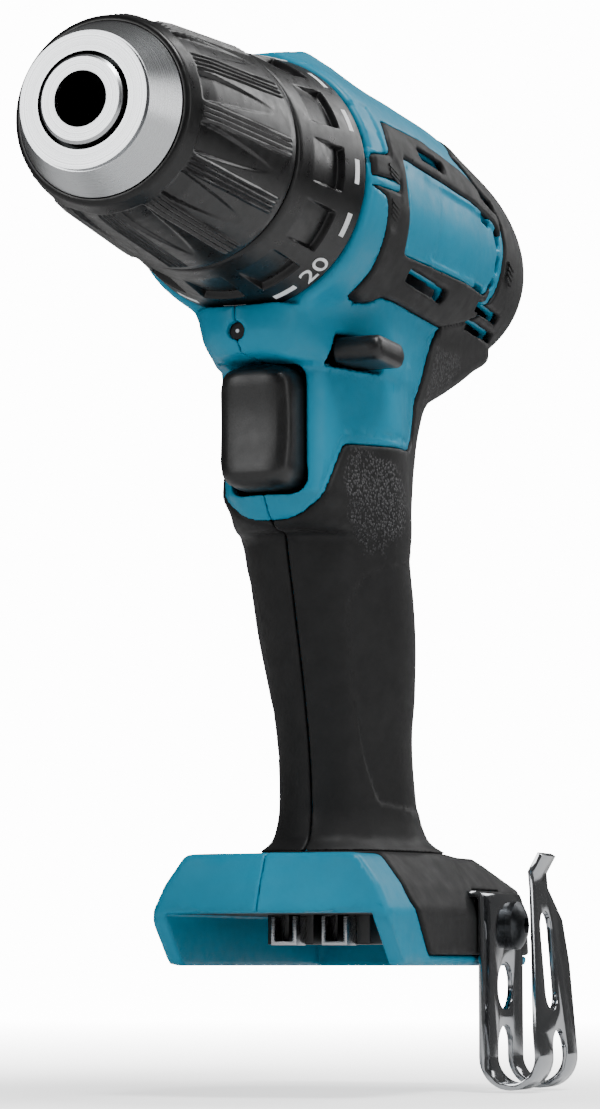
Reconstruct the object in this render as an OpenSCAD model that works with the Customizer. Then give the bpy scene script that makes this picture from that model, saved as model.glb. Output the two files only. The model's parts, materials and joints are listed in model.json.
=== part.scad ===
// Compact cordless drill driver, 12 volt class, shown without its battery.
// X runs forward along the spindle, Y to the drill's left and Z up.
// The origin is the centre of the chuck's mouth. Lengths are in millimetres.

/* [Chuck] */
// Bore between the fully open jaws
mouth_d = 10.1; // [9.6:0.1:10.4]
// Smallest shank that the closed jaws grip
grip_min_d = 0.8; // [0.6:0.1:1.5]
// Diameter of the steel nose ring
nose_d = 16; // [15.6:0.1:16.8]
// Outer diameter of the flat bright ring around the nose
collar_face_d = 24.6; // [23.6:0.1:25.4]
// Diameter of the brushed cone where it meets the sleeve
collar_d = 31.7; // [31:0.1:32.4]
// Diameter of the sleeve at its front rim
sleeve_front_d = 34.4; // [34:0.1:35.4]
// Largest diameter of the sleeve, at its back
sleeve_d = 43; // [42:0.1:44]
// Length of the chuck, from its mouth to the back of the sleeve
chuck_len = 45.8; // [45:0.1:47]
// Diameter of one jaw
jaw_d = 5.8; // [5.4:0.1:6]
// Length of one jaw along the spindle
jaw_len = 24; // [22.5:0.5:24.5]
// Lean of the jaws towards the mouth
jaw_tilt = 15; // [14.5:0.1:15.5]
// Jaw travel for one turn of the sleeve
jaw_lead = 2.6; // [2:0.1:3]
// Finger flats around the sleeve
sleeve_flats = 12; // [8:1:16]

/* [Torque ring] */
// Diameter of the torque ring at its front
ring_front_d = 42.4; // [42:0.1:43.2]
// Diameter of the torque ring at its back
ring_back_d = 50; // [49.4:0.1:50.4]
// Length of the torque ring
ring_len = 24.2; // [24:0.1:25]
// Finger pockets around the torque ring
ring_pockets = 12; // [8:1:16]
// Angle between two torque settings
setting_step = 12.25; // [10:0.25:13]
// Settings below the one shown
settings_down = 8; // [4:1:9]
// Settings above the one shown, the drill mark included
settings_up = 12; // [8:1:13]
// Travel of the adjusting nut for one turn of the ring
nut_lead = 8; // [6:0.5:8.5]

/* [Gear train] */
// Gear module
gear_module = 0.6; // [0.59:0.01:0.61]
// Teeth of each sun gear
sun_teeth = 12; // [12]
// Teeth of each planet gear
planet_teeth = 24; // [24]
// Pressure angle of the teeth
pressure_angle = 25; // [24:0.5:26]
// Width of the planet gears
planet_w = 5.6; // [5:0.1:5.8]
// Diameter of the planet pins
planet_pin_d = 4; // [3.6:0.1:4.6]
// Wall of the gear case
case_wall = 2.4; // [2.2:0.1:2.6]
// Diameter of the spindle in its bearings
spindle_d = 12; // [11.6:0.1:12.4]
// Diameter of the spindle's chuck thread
spindle_thread_d = 9.52; // [9:0.01:10]
// Travel of the speed lever
shift_travel = 6.3; // [5.8:0.1:6.6]

/* [Motor] */
// Diameter of the motor can
motor_d = 35.8; // [35:0.1:36.4]
// Length of the motor can
motor_len = 54.5; // [53:0.5:55]
// Diameter of the motor shaft
shaft_d = 3.17; // [3:0.01:3.4]
// Running gap between the armature and the magnets
air_gap = 0.6; // [0.4:0.1:1]
// Poles of the armature
armature_poles = 5; // [3:1:7]

/* [Housing] */
// Outer radius of the motor barrel
barrel_r = 27.1; // [26.8:0.1:27.6]
// Height of the ridge over the gear case
ridge_z = 29.6; // [29.2:0.1:30.2]
// Wall of the plastic shells
shell_wall = 2.4; // [2.1:0.1:2.6]
// Depth of the rubber in its recess
rubber_depth = 1.1; // [0.9:0.1:1.2]
// How far the rubber stands proud of the plastic
rubber_proud = 0.6; // [0.3:0.1:0.8]
// Whole length of the tool, from the chuck's mouth to its back
tool_len = 189; // [187.5:0.5:191]
// Height of the foot's lower rim below the spindle axis
foot_drop = 149.5; // [148:0.5:151]
// Half of the width of the foot
foot_half_w = 25; // [24.6:0.1:25.6]
// Half of the width of the grip at its waist
waist_half_w = 12.9; // [12.5:0.1:13.4]
// Length of a housing screw
screw_len = 16; // [14:0.5:16.5]

/* [Controls] */
// Width of the trigger
trigger_w = 15; // [14.4:0.2:16]
// Height of the trigger
trigger_h = 24.6; // [24:0.1:25]
// Travel of the trigger
trigger_travel = 6; // [5:0.1:6.4]
// Length of the direction lever, tip to tip
lever_len = 37; // [36:0.5:38]
// Travel of the direction lever to each side
lever_travel = 4; // [3:0.1:4.4]

/* [Battery foot and belt hook] */
// Inside width of the battery bay
bay_w = 43; // [42:0.1:44]
// Inside height of the battery bay
bay_h = 10; // [9.5:0.1:10.3]
// Thickness of the hook's steel strip
hook_t = 1.3; // [1.2:0.1:1.5]
// Width of the hook's fixed leg
hook_w = 23.4; // [22.6:0.2:24.4]
// Space between the hook's legs
hook_gap = 10.4; // [9.8:0.1:11]
// Depth of the hook below the foot's rim
hook_drop = 24.6; // [24:0.2:26]
// Diameter of the hook screw's thread
hook_screw_d = 4; // [3.8:0.1:4.2]

/* [Hidden] */

round_fn = 64;
skin_fn = 20;
run_gap = 0.06;     // radial running clearance of shafts and bores
seat_gap = 0.05;    // radial clearance of pieces that are held still
slip = 0.35;        // gap between pieces that slide past each other
chord = 0.12;       // extra room where a faceted wall holds a round piece
far = 400;          // longer than the tool
eps = 0.01;

teal = "#0b7f99";
rubber_black = "#2e2f30";
plastic_black = "#1b1b1c";
steel = "#c4c7ca";
dark_steel = "#7d8083";
brass = "#c9a24b";

// ---------- Placing helpers ----------

// Turns local Z to X and moves to a place on the spindle axis
module along_x(x = 0) {
    translate([x, 0, 0]) rotate([0, 90, 0]) children();
}

// Turned piece around the spindle axis: points are [radius, place along X]
module turned(outline) {
    rotate([0, 90, 0]) rotate_extrude($fn = round_fn) polygon(outline);
}

// Tube around the spindle axis, from its front place to its back place
module tube_x(front, back, r_out, r_in) {
    along_x(back) difference() {
        cylinder(h = front - back, r = r_out, $fn = round_fn);
        if (r_in > 0) translate([0, 0, -1]) cylinder(h = front - back + 2, r = r_in, $fn = round_fn);
    }
}

// Box given by its two corners
module span(low, high) {
    translate(low) cube(high - low);
}

// Cylinder across the tool, from one side place to another
module across(x, z, y_from, y_to, r, fn = 24) {
    translate([x, y_from, z]) rotate([-90, 0, 0]) cylinder(h = y_to - y_from, r = r, $fn = fn);
}

// Copies around the spindle axis
module around(count, start = 0) {
    for (i = [0:count - 1]) rotate([start + i * 360 / count, 0, 0]) children();
}

// ---------- Chuck ----------

mouth_r = mouth_d / 2;
nose_r = nose_d / 2;
collar_face_x = -1;
collar_back_x = -11;
collar_seat_x = -9;
groove_r = nose_r + 0.8;
jaw_r = jaw_d / 2;
jaw_bore_r = jaw_r + run_gap;
jaw_apex_r = mouth_r + 0.1;
jaw_travel = (jaw_apex_r - grip_min_d / 2) / sin(jaw_tilt);
jaw_axis_r0 = mouth_r - jaw_bore_r / cos(jaw_tilt) - 0.25;
jaw_closed_x = -2;
jaw_tip_x = jaw_closed_x - jaw_travel * cos(jaw_tilt);
jaw_back_x = jaw_tip_x - jaw_len;
function jaw_axis_r(x) = jaw_axis_r0 - x * tan(jaw_tilt);
function jaw_edge_r(x) = jaw_axis_r(x) + jaw_r / cos(jaw_tilt);

chuck_nut_front_x = jaw_tip_x - 0.4;
chuck_nut_back_x = jaw_closed_x - jaw_len + 0.3;
chuck_nut_r = 15.4;
chuck_land_r = 12.6;
sleeve_land_r = chuck_land_r + run_gap;
chuck_back_x = -chuck_len + 1.3;
chuck_rear_r = 13.4;
sleeve_bore_r = max(chuck_rear_r + 3, jaw_edge_r(jaw_back_x) + slip);
chuck_bore_end_x = -22;
mouth_guide_len = 4;                        // front stretch of the mouth, which guides the shank
mouth_relief = 0.25;                        // how much wider the mouth is behind it
chuck_screw_head_r = 4.2;
chuck_screw_head_h = 3.2;
chuck_screw_r = 2.5;
spindle_thread_r = spindle_thread_d / 2;
spindle_tip_x = -31.5;
sleeve_front_x = -8.2;
sleeve_back_x = -chuck_len;
sleeve_r = sleeve_d / 2;
sleeve_front_r = sleeve_front_d / 2;
collar_r = collar_d / 2;

// Rod along a jaw's leaning axis, between two places along X
module jaw_rod(front, back, r) {
    translate([front, 0, jaw_axis_r(front)]) rotate([0, jaw_tilt - 90, 0])
        cylinder(h = (front - back) / cos(jaw_tilt), r = r, $fn = 32);
}

// One jaw, wide open: a leaning rod with a three-sided gripping tip
module jaw() {
    wedge_w = 8;
    wedge_h = jaw_apex_r + wedge_w / tan(60);
    color(dark_steel) intersection() {
        jaw_rod(jaw_tip_x + 3, jaw_back_x - 3, jaw_r);
        along_x(jaw_back_x) linear_extrude(height = jaw_len)
            polygon([[-jaw_apex_r, 0], [-wedge_h, wedge_w], [-wedge_h - 9, wedge_w],
                [-wedge_h - 9, -wedge_w], [-wedge_h, -wedge_w]]);
    }
}

module chuck_jaw_1() { jaw(); }
module chuck_jaw_2() { rotate([120, 0, 0]) jaw(); }
module chuck_jaw_3() { rotate([240, 0, 0]) jaw(); }

// Steel body with the mouth, the three leaning jaw bores and the spindle thread
module chuck_body() {
    color(steel) difference() {
        turned([[0, -0.001], [nose_r - 0.5, 0], [nose_r, -0.5], [nose_r, collar_seat_x],
            [chuck_land_r, collar_seat_x], [chuck_land_r, chuck_nut_front_x + 0.2],
            [9.5, chuck_nut_front_x + 0.2], [9.5, chuck_nut_back_x - 0.2],
            [chuck_rear_r, chuck_nut_back_x - 0.2], [chuck_rear_r, chuck_back_x + 0.6],
            [chuck_rear_r - 0.6, chuck_back_x], [0, chuck_back_x]]);
        along_x(-mouth_guide_len) cylinder(h = far, r = mouth_r, $fn = round_fn);
        along_x(chuck_bore_end_x) cylinder(h = -chuck_bore_end_x - mouth_guide_len, r = mouth_r + mouth_relief,
            $fn = round_fn);
        along_x(chuck_bore_end_x - chuck_screw_head_h)
            cylinder(h = far, r = chuck_screw_head_r + seat_gap, $fn = round_fn);
        along_x(chuck_back_x - 1) cylinder(h = far, r = chuck_screw_r + seat_gap, $fn = round_fn);
        along_x(chuck_back_x - 1)
            cylinder(h = spindle_tip_x - chuck_back_x + 1, r = spindle_thread_r, $fn = round_fn);
        around(3) jaw_rod(3, chuck_back_x - 4, jaw_bore_r);
    }
}

// Brushed steel cone with the flat bright ring, pressed on the body
module chuck_collar() {
    color(steel) turned([[groove_r, collar_face_x], [collar_face_d / 2, collar_face_x],
        [collar_face_d / 2, collar_face_x - 0.7], [collar_face_d / 2 + 0.3, collar_face_x - 0.7],
        [collar_r, -7.9], [collar_r, collar_back_x], [chuck_land_r, collar_back_x],
        [chuck_land_r, collar_seat_x], [nose_r, collar_seat_x], [nose_r, -3.2], [groove_r, -3.2]]);
}

// Black sleeve that opens and closes the jaws
module chuck_sleeve() {
    flat_len = 17;
    color(plastic_black) difference() {
        turned([[collar_r + slip, sleeve_front_x], [sleeve_front_r - 0.6, sleeve_front_x],
            [sleeve_front_r, sleeve_front_x - 0.8], [sleeve_front_r + 1.5, -17.5],
            [sleeve_front_r + 2.3, -20], [sleeve_r, sleeve_back_x + 2],
            [sleeve_r - 0.5, sleeve_back_x], [sleeve_bore_r, sleeve_back_x],
            [sleeve_bore_r, chuck_nut_back_x], [chuck_nut_r, chuck_nut_back_x],
            [chuck_nut_r, chuck_nut_front_x], [sleeve_land_r, chuck_nut_front_x],
            [sleeve_land_r, collar_back_x - slip], [collar_r + slip, collar_back_x - slip]]);
        around(sleeve_flats, 180 / sleeve_flats + 8) translate([-40, -3, sleeve_r - 1.3])
            rotate([0, -6.5, 0]) cube([flat_len, 6, 8]);
    }
}

// Split nut that drives the jaws, pressed in the sleeve
module chuck_nut() {
    color(dark_steel) turned([[jaw_edge_r(chuck_nut_front_x) + 0.3, chuck_nut_front_x],
        [chuck_nut_r, chuck_nut_front_x], [chuck_nut_r, chuck_nut_back_x],
        [jaw_edge_r(chuck_nut_back_x) + 0.3, chuck_nut_back_x]]);
}

// Left-hand screw that keeps the chuck on the spindle
module chuck_screw() {
    head_x = chuck_bore_end_x - chuck_screw_head_h;
    color(dark_steel) difference() {
        union() {
            tube_x(head_x + chuck_screw_head_h - 0.2, head_x, chuck_screw_head_r, 0);
            tube_x(head_x, -52, chuck_screw_r, 0);
        }
        along_x(head_x + 1) for (a = [0, 90]) rotate([0, 0, a]) translate([-2.4, -0.5, 0]) cube([4.8, 1, 9]);
    }
}

// ---------- Spindle, torque ring and clutch ----------

spindle_r = spindle_d / 2;
ring_front_x = -chuck_len - 1.5;
ring_back_x = ring_front_x - ring_len;
retainer_front_x = ring_front_x - 0.6;
nose_front_x = retainer_front_x - 1.2;      // front of the gear case's nose
lip_front_x = nose_front_x - 0.2;
lip_back_x = lip_front_x - 1.7;
case_nose_r = 14.5;
flange_front_x = ring_back_x - 0.8;
flange_back_x = flange_front_x - 3.7;
adjust_nut_r = 18.2;
adjust_key_r = 19.6;
adjust_key_w = 4;
adjust_nut_len = 5;
nut_forward = nut_lead * settings_down * setting_step / 360;
adjust_nut_front_x = lip_back_x - nut_forward - 0.3;
adjust_nut_back_x = adjust_nut_front_x - adjust_nut_len;
ring_bore_r = adjust_nut_r + slip;
washer_r = 20;
washer_t = 1.2;
washer_back_x = flange_front_x + 0.7;
washer_front_x = washer_back_x + washer_t;
clutch_pin_r = 1.4;
clutch_pin_circle = 18.6;
bearing_r = 12;
bearing_w = 6;
bearing_front_x = nose_front_x - 1;
bush_front_x = -62;
bush_r = 8.5;
spindle_back_x = flange_back_x - 1;

module spindle() {
    color(steel) difference() {
        union() {
            tube_x(spindle_tip_x, chuck_back_x + eps, spindle_thread_r, 0);
            tube_x(chuck_back_x, spindle_back_x, spindle_r, 0);
            tube_x(spindle_back_x, spindle_back_x - 2.9, 5, 0);
        }
        along_x(-54) cylinder(h = far, r = chuck_screw_r, $fn = round_fn);
    }
}

module spindle_bearing() {
    back = bearing_front_x - bearing_w;
    color(steel) {
        tube_x(bearing_front_x, back, spindle_r + 1.6, spindle_r + run_gap);
        tube_x(bearing_front_x, back, bearing_r, bearing_r - 1.6);
        ball_r = (bearing_r - spindle_r - 3.2) / 2;
        around(9) translate([back + bearing_w / 2, 0, (bearing_r + spindle_r) / 2])
            sphere(r = ball_r - 0.02, $fn = 16);
    }
}

module spindle_bush() {
    color(brass) tube_x(bush_front_x, flange_back_x, bush_r, spindle_r + run_gap);
}

function ring_r(x) = ring_front_d / 2
    + (ring_back_d - ring_front_d) / 2 * (ring_front_x - x) / ring_len;

// Ring that sets the slipping torque, with finger pockets and slots for the nut's keys
module torque_ring() {
    step_x = ring_back_x + 4;
    color(plastic_black) difference() {
        turned([[adjust_key_r - 0.2, ring_front_x], [ring_front_d / 2 - 0.5, ring_front_x],
            [ring_front_d / 2, ring_front_x - 0.5], [ring_back_d / 2, ring_back_x + 0.8],
            [ring_back_d / 2 - 0.4, ring_back_x], [washer_r + 0.5, ring_back_x],
            [washer_r + 0.5, step_x], [ring_bore_r, step_x], [ring_bore_r, lip_back_x],
            [case_nose_r + run_gap, lip_back_x], [case_nose_r + run_gap, lip_front_x],
            [adjust_key_r - 0.2, lip_front_x]]);
        around(6) span([step_x - 1, -adjust_key_w / 2 - 0.3, 0],
            [lip_back_x, adjust_key_w / 2 + 0.3, adjust_key_r + slip]);
        around(ring_pockets, 4) translate([ring_front_x - 16, -3.4, ring_r(ring_front_x - 10) - 0.9])
            rotate([0, -9, 0]) cube([9.5, 6.8, 6]);
    }
}

// Plate that keeps the torque ring on the gear case
module ring_retainer() {
    color(dark_steel) difference() {
        tube_x(retainer_front_x, nose_front_x, adjust_key_r - 0.6, spindle_r + 1);
        around(3) translate([0, 0, (case_nose_r + bearing_r) / 2]) along_x(-far) cylinder(h = far, r = 0.9, $fn = 24);
    }
}

module retainer_screws() {
    color(dark_steel) around(3) translate([0, 0, (case_nose_r + bearing_r) / 2]) {
        along_x(retainer_front_x) cylinder(h = 0.8, r = 1.6, $fn = 24);
        along_x(nose_front_x - 5) cylinder(h = retainer_front_x - nose_front_x + 5, r = 0.85, $fn = 24);
    }
}

// Leaf that clicks in the ring's settings
module click_spring() {
    color(steel) rotate([0, 90, 0]) translate([0, 0, flange_front_x]) difference() {
        rotate_extrude(angle = 70, $fn = round_fn) translate([20.9, 0]) square([1.2, 0.45]);
        rotate([0, 0, 35]) translate([20, -1, -1]) cube([4, 2, 1.2]);
    }
}

module adjusting_nut() {
    color(plastic_black) {
        difference() {
            union() {
                tube_x(adjust_nut_front_x, adjust_nut_back_x, adjust_nut_r, 0);
                around(6) span([adjust_nut_back_x, -adjust_key_w / 2, 0],
                    [adjust_nut_front_x, adjust_key_w / 2, adjust_key_r]);
            }
            along_x(-far) cylinder(h = far, r = case_nose_r + run_gap, $fn = round_fn);
        }
    }
}

// Points of a round wire swept along a path, in a frame that leans on a side vector
function unit(v) = v / norm(v);
function path_dir(p, i) = unit(p[min(i + 1, len(p) - 1)] - p[max(i - 1, 0)]);
function sweep_points(p, r, sides, side) = [for (i = [0:len(p) - 1])
    let (t = path_dir(p, i), n = unit(cross(t, side)), b = cross(t, n))
    for (k = [0:sides - 1]) p[i] + r * (cos(360 * k / sides) * n + sin(360 * k / sides) * b)];
function sweep_faces(count, sides) = concat(
    [[for (k = [0:sides - 1]) k]],
    [for (i = [0:count - 2]) for (k = [0:sides - 1])
        [i * sides + k, (i + 1) * sides + k, (i + 1) * sides + (k + 1) % sides, i * sides + (k + 1) % sides]],
    [[for (k = [sides - 1:-1:0]) (count - 1) * sides + k]]);

module swept(p, r, sides = 8, side = [0, 1, 0]) {
    polyhedron(points = sweep_points(p, r, sides, side), faces = sweep_faces(len(p), sides), convexity = 6);
}

// Points of a coil spring around X: the end turns lie close and the middle is open
function coil_points(front, back, r, turns, steps, wire_r) = [for (i = [0:turns * steps])
    let (a = i * 360 / steps, s = i / (turns * steps))
    [front - wire_r - (front - back - 2 * wire_r) * s, r * cos(a), r * sin(a)]];

module clutch_spring() {
    wire_r = 0.9;
    color(steel) swept(coil_points(adjust_nut_back_x - 0.1, washer_front_x + 0.1, case_nose_r + 2.1, 4, 20,
        wire_r), wire_r, 6, [1, 0, 0]);
}

module clutch_washer() {
    color(steel) tube_x(washer_front_x, washer_back_x, washer_r, case_nose_r + seat_gap);
}

module clutch_pins() {
    color(steel) around(6, 30) translate([0, 0, clutch_pin_circle]) along_x(clutch_gear_front_x)
        cylinder(h = washer_back_x - clutch_gear_front_x, r = clutch_pin_r, $fn = 24);
}

// ---------- Planetary gears ----------

ring_teeth = sun_teeth + 2 * planet_teeth;
stage_ratio = 1 + ring_teeth / sun_teeth;
planet_circle = gear_module * (sun_teeth + planet_teeth) / 2;
backlash = 0.06;
ring_gear_r = 20.4;
case_bore_r = ring_gear_r + seat_gap;
case_r = case_bore_r + case_wall;
clutch_gear_front_x = flange_back_x - 1;
carrier_t = 2.9;
output_planet_front_x = spindle_back_x - carrier_t - 0.3;
output_planet_back_x = output_planet_front_x - planet_w;
clutch_gear_back_x = output_planet_back_x - 0.4;
input_carrier_front_x = clutch_gear_back_x - 0.9;
input_carrier_back_x = input_carrier_front_x - 2.6;
input_planet_front_x = input_carrier_back_x - 0.3;
input_planet_back_x = input_planet_front_x - planet_w;
sliding_gear_front_x = input_planet_front_x + 0.3;
sliding_gear_back_x = input_planet_back_x - 0.5;
shift_groove_x = (sliding_gear_front_x + sliding_gear_back_x) / 2;
case_back_x = sliding_gear_back_x - shift_travel - 0.8;
cover_back_x = case_back_x - 2.5;
motor_front_x = cover_back_x - 0.5;
planet_pin_r = planet_pin_d / 2;

// Angle of the involute at a radius, from where it leaves its base circle
function inv_angle(r, rb) = r <= rb ? 0 : let (t = acos(rb / r)) tan(t) * 180 / PI - t;
// Half of a tooth's angle at a radius, thinned by the backlash
function tooth_half(n, r, play) = let (rp = gear_module * n / 2, rb = rp * cos(pressure_angle))
    90 / n + inv_angle(rp, rb) - inv_angle(r, rb) - play / rp * 180 / PI;
// Outline of a gear: flank points at a few radii, up one side and down the other
function gear_outline(n, root, tip, play) = [for (k = [0:n - 1])
    for (q = [[root, -1], [(root + tip) / 2, -1], [tip, -1], [tip, 1], [(root + tip) / 2, 1], [root, 1]])
        let (a = k * 360 / n + q[1] * tooth_half(n, q[0], play)) q[0] * [cos(a), sin(a)]];

module outer_gear(n, width) {
    rp = gear_module * n / 2;
    linear_extrude(height = width)
        polygon(gear_outline(n, rp - 1.25 * gear_module, rp + gear_module, backlash));
}

// Toothed hole of a ring gear: a gear outline widened by the backlash
module inner_teeth(n, width) {
    rp = gear_module * n / 2;
    linear_extrude(height = width) rotate(180 / n)
        polygon(gear_outline(n, rp - gear_module, rp + 1.25 * gear_module, -backlash));
}

module ring_gear(front, back, groove) {
    difference() {
        tube_x(front, back, ring_gear_r, 0);
        along_x(back - 1) inner_teeth(ring_teeth, front - back + 2);
        if (groove > 0) tube_x(shift_groove_x + groove, shift_groove_x - groove, ring_gear_r + 1, ring_gear_r - 0.7);
    }
}

module clutch_ring_gear() {
    color(dark_steel) ring_gear(clutch_gear_front_x, clutch_gear_back_x, 0);
}

module sliding_ring_gear() {
    color(dark_steel) ring_gear(sliding_gear_front_x, sliding_gear_back_x, shift_wire_r + 0.1);
}

module planet(i, front) {
    color(dark_steel) rotate([120 * i, 0, 0]) translate([0, 0, -planet_circle])
        along_x(front - planet_w) rotate(180 / planet_teeth) difference() {
            outer_gear(planet_teeth, planet_w);
            translate([0, 0, -1]) cylinder(h = planet_w + 2, r = planet_pin_r + run_gap, $fn = 32);
        }
}

module output_planet_1() { planet(0, output_planet_front_x); }
module output_planet_2() { planet(1, output_planet_front_x); }
module output_planet_3() { planet(2, output_planet_front_x); }
module input_planet_1() { planet(0, input_planet_front_x); }
module input_planet_2() { planet(1, input_planet_front_x); }
module input_planet_3() { planet(2, input_planet_front_x); }

// Disc with three planet pins that point backwards
module carrier(front, back, bore_r) {
    difference() {
        tube_x(front, back, planet_circle + 4.4, bore_r);
        around(3) translate([0, 0, -planet_circle]) along_x(back - 1)
            cylinder(h = front - back + 2, r = planet_pin_r, $fn = 32);
    }
    around(3) translate([0, 0, -planet_circle]) along_x(back - planet_w - 0.6)
        cylinder(h = front - back + planet_w + 0.6, r = planet_pin_r, $fn = 32);
}

module output_carrier() {
    color(dark_steel) carrier(spindle_back_x, spindle_back_x - carrier_t, 5);
}

module input_carrier() {
    color(dark_steel) {
        carrier(input_carrier_front_x, input_carrier_back_x, 0);
        along_x(input_carrier_front_x) outer_gear(sun_teeth, output_planet_front_x - input_carrier_front_x - 0.1);
    }
}

// ---------- Gear case ----------

case_screw_circle = case_r - 0.5;
case_screw_r = 1.2;
case_boss_r = 2.5;
case_screw_angles = [108, 150, 210, 252];   // all below the shift wire
shift_wire_r = 0.7;

module at_case_screws() {
    for (a = case_screw_angles) rotate([a, 0, 0]) translate([0, 0, case_screw_circle]) children();
}

// Die-cast case: nose with the bearing seats, flange with the pin holes, toothed room
module gear_case() {
    color("#9a9da0") difference() {
        union() {
            turned([[0, nose_front_x], [case_nose_r, nose_front_x], [case_nose_r, flange_front_x],
                [case_r - 0.5, flange_front_x], [case_r - 0.5, flange_back_x + 1], [case_r, flange_back_x + 0.5],
                [case_r, case_back_x], [0, case_back_x]]);
            at_case_screws() along_x(case_back_x + 0.3) cylinder(h = 11.7, r = case_boss_r, $fn = 24);
        }
        along_x(-far) cylinder(h = far, r = spindle_r + 0.4, $fn = round_fn);
        along_x(bearing_front_x - bearing_w) cylinder(h = far, r = bearing_r + seat_gap, $fn = round_fn);
        tube_x(bush_front_x, flange_back_x - 1, bush_r, 0);
        tube_x(flange_back_x, case_back_x - 1, case_bore_r, 0);
        around(6, 30) translate([0, 0, clutch_pin_circle]) along_x(flange_back_x - 1)
            cylinder(h = 9, r = clutch_pin_r + run_gap, $fn = 24);
        around(3) translate([0, 0, (case_nose_r + bearing_r) / 2]) along_x(nose_front_x - 5.2)
            cylinder(h = 9, r = 0.85, $fn = 24);
        at_case_screws() along_x(case_back_x - 1) cylinder(h = 11, r = case_screw_r, $fn = 24);
        span([case_back_x - 1, -far, -shift_wire_r - 0.3], [shift_groove_x + shift_wire_r + 0.4, far,
            shift_wire_r + 0.3]);
    }
}

// Plate that closes the case and carries the motor
module gear_case_cover() {
    color("#9a9da0") difference() {
        union() {
            tube_x(case_back_x, cover_back_x, case_r, 0);
            at_case_screws() along_x(cover_back_x)
                cylinder(h = case_back_x - cover_back_x, r = case_boss_r, $fn = 24);
        }
        along_x(-far) cylinder(h = far, r = 6.6, $fn = round_fn);
        at_case_screws() along_x(-far) cylinder(h = far, r = case_screw_r + seat_gap, $fn = 24);
    }
}

module gear_case_screws() {
    color(dark_steel) at_case_screws() {
        along_x(cover_back_x - 1.6) cylinder(h = 1.6, r = 2.2, $fn = 24);
        along_x(cover_back_x) cylinder(h = 11, r = case_screw_r, $fn = 24);
    }
}

// ---------- Speed lever ----------

speed_wire_circle = case_r + 0.95;
speed_front_x = shift_groove_x - 6;
speed_len = 11.5;
speed_half_w = 6.4;
speed_top_z = barrel_r + 0.6;
speed_bottom_z = motor_d / 2 + 6.8;
speed_window_front_x = speed_front_x + 0.6;
speed_window_back_x = speed_front_x - speed_len - shift_travel - 0.6;

// Thumb slider on the top of the housing, with its arm to the wire
module speed_lever() {
    color(plastic_black) {
        difference() {
            intersection() {
                span([speed_front_x - speed_len, -speed_half_w, speed_bottom_z], [speed_front_x, speed_half_w, far]);
                tube_x(0, -far, speed_top_z + 0.6, 0);
            }
            for (i = [0:3]) translate([speed_front_x - 2.6 - i * 2.1, -speed_half_w - 1, speed_top_z - 0.1])
                cube([1, 2 * speed_half_w + 2, 3]);
        }
        span([speed_front_x - 1, -3, speed_wire_circle + shift_wire_r - 1.4],
            [shift_groove_x + 1.6, 3, speed_wire_circle + shift_wire_r + 1.3]);
    }
}

// Bent wire from the lever around the gear case to the sliding gear
module shift_wire() {
    color(steel) difference() {
        translate([shift_groove_x, 0, 0]) {
            rotate([0, 90, 0]) rotate([0, 0, 90]) rotate_extrude(angle = 180, $fn = round_fn)
                translate([speed_wire_circle, 0]) circle(r = shift_wire_r, $fn = 16);
            for (s = [-1, 1]) rotate([s * -90, 0, 0]) translate([0, 0, ring_gear_r - 0.4])
                cylinder(h = speed_wire_circle - ring_gear_r + 0.4 + shift_wire_r, r = shift_wire_r, $fn = 16);
        }
        span([shift_groove_x - 3, -3, speed_wire_circle - 0.9], [shift_groove_x + 3, 3, far]);
    }
}

// ---------- Motor ----------

motor_r = motor_d / 2;
motor_back_x = motor_front_x - motor_len;
can_wall = 1.5;
magnet_t = 2.6;
magnet_r = motor_r - can_wall;
armature_r = magnet_r - magnet_t - air_gap;
shaft_r = shaft_d / 2;
end_cap_len = 7.5;
cap_bore_r = motor_r - can_wall - 1.6;
end_cap_back_x = motor_back_x - end_cap_len;
stack_front_x = motor_front_x - 16;
stack_back_x = motor_back_x + 15;
commutator_r = 4.8;
pinion_front_x = input_planet_front_x - 0.2;

module motor_can() {
    color(dark_steel) difference() {
        union() {
            tube_x(motor_front_x, motor_back_x, motor_r, 0);
            tube_x(cover_back_x + 1.2, motor_front_x, 6.5, 0);
        }
        tube_x(motor_front_x - can_wall, motor_back_x - 1, motor_r - can_wall, 0);
        along_x(-far) cylinder(h = far, r = 5 + seat_gap, $fn = round_fn);
        around(4, 45) span([motor_front_x - 13, -4, motor_r - 4], [motor_front_x - 5, 4, far]);
    }
}

module motor_magnets() {
    color("#3a3a3d") for (s = [0, 180]) rotate([s, 0, 0]) intersection() {
        tube_x(motor_front_x - 15, motor_back_x + 12, magnet_r, magnet_r - magnet_t);
        span([-far, -magnet_r * cos(25), 4.2], [0, magnet_r * cos(25), far]);
    }
}

module motor_end_cap() {
    color(plastic_black) difference() {
        union() {
            tube_x(motor_back_x, end_cap_back_x, motor_r, 0);
            tube_x(motor_back_x + 6, motor_back_x, motor_r - can_wall - seat_gap, cap_bore_r);
            tube_x(end_cap_back_x, end_cap_back_x - 2.5, 7, 0);
        }
        tube_x(motor_back_x + 1, motor_back_x - 5.5, cap_bore_r, 0);
        along_x(-far) cylinder(h = far, r = 5 + seat_gap, $fn = round_fn);
        for (s = [-1, 1]) span([motor_back_x - 9, s * 11 - 2.6, -3.2], [motor_back_x - 3, s * 11 + 2.6, 3.2]);
    }
}

// Two carbon brushes in their brass holders
module motor_brushes() {
    x = motor_back_x - 2.6;
    for (s = [0, 180]) rotate([s, 0, 0]) {
        color("#303030") span([x - 2.8, commutator_r + 0.1, -2.2], [x + 1.8, commutator_r + 5.5, 2.2]);
        color(brass) difference() {
            span([x - 2.9, commutator_r + 1.6, -3], [x + 2.6, sqrt(pow(cap_bore_r, 2) - 9) - seat_gap, 3]);
            span([x - 2.8, 0, -2.2], [x + 1.8, commutator_r + 5.5, 2.2]);
        }
    }
}

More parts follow.
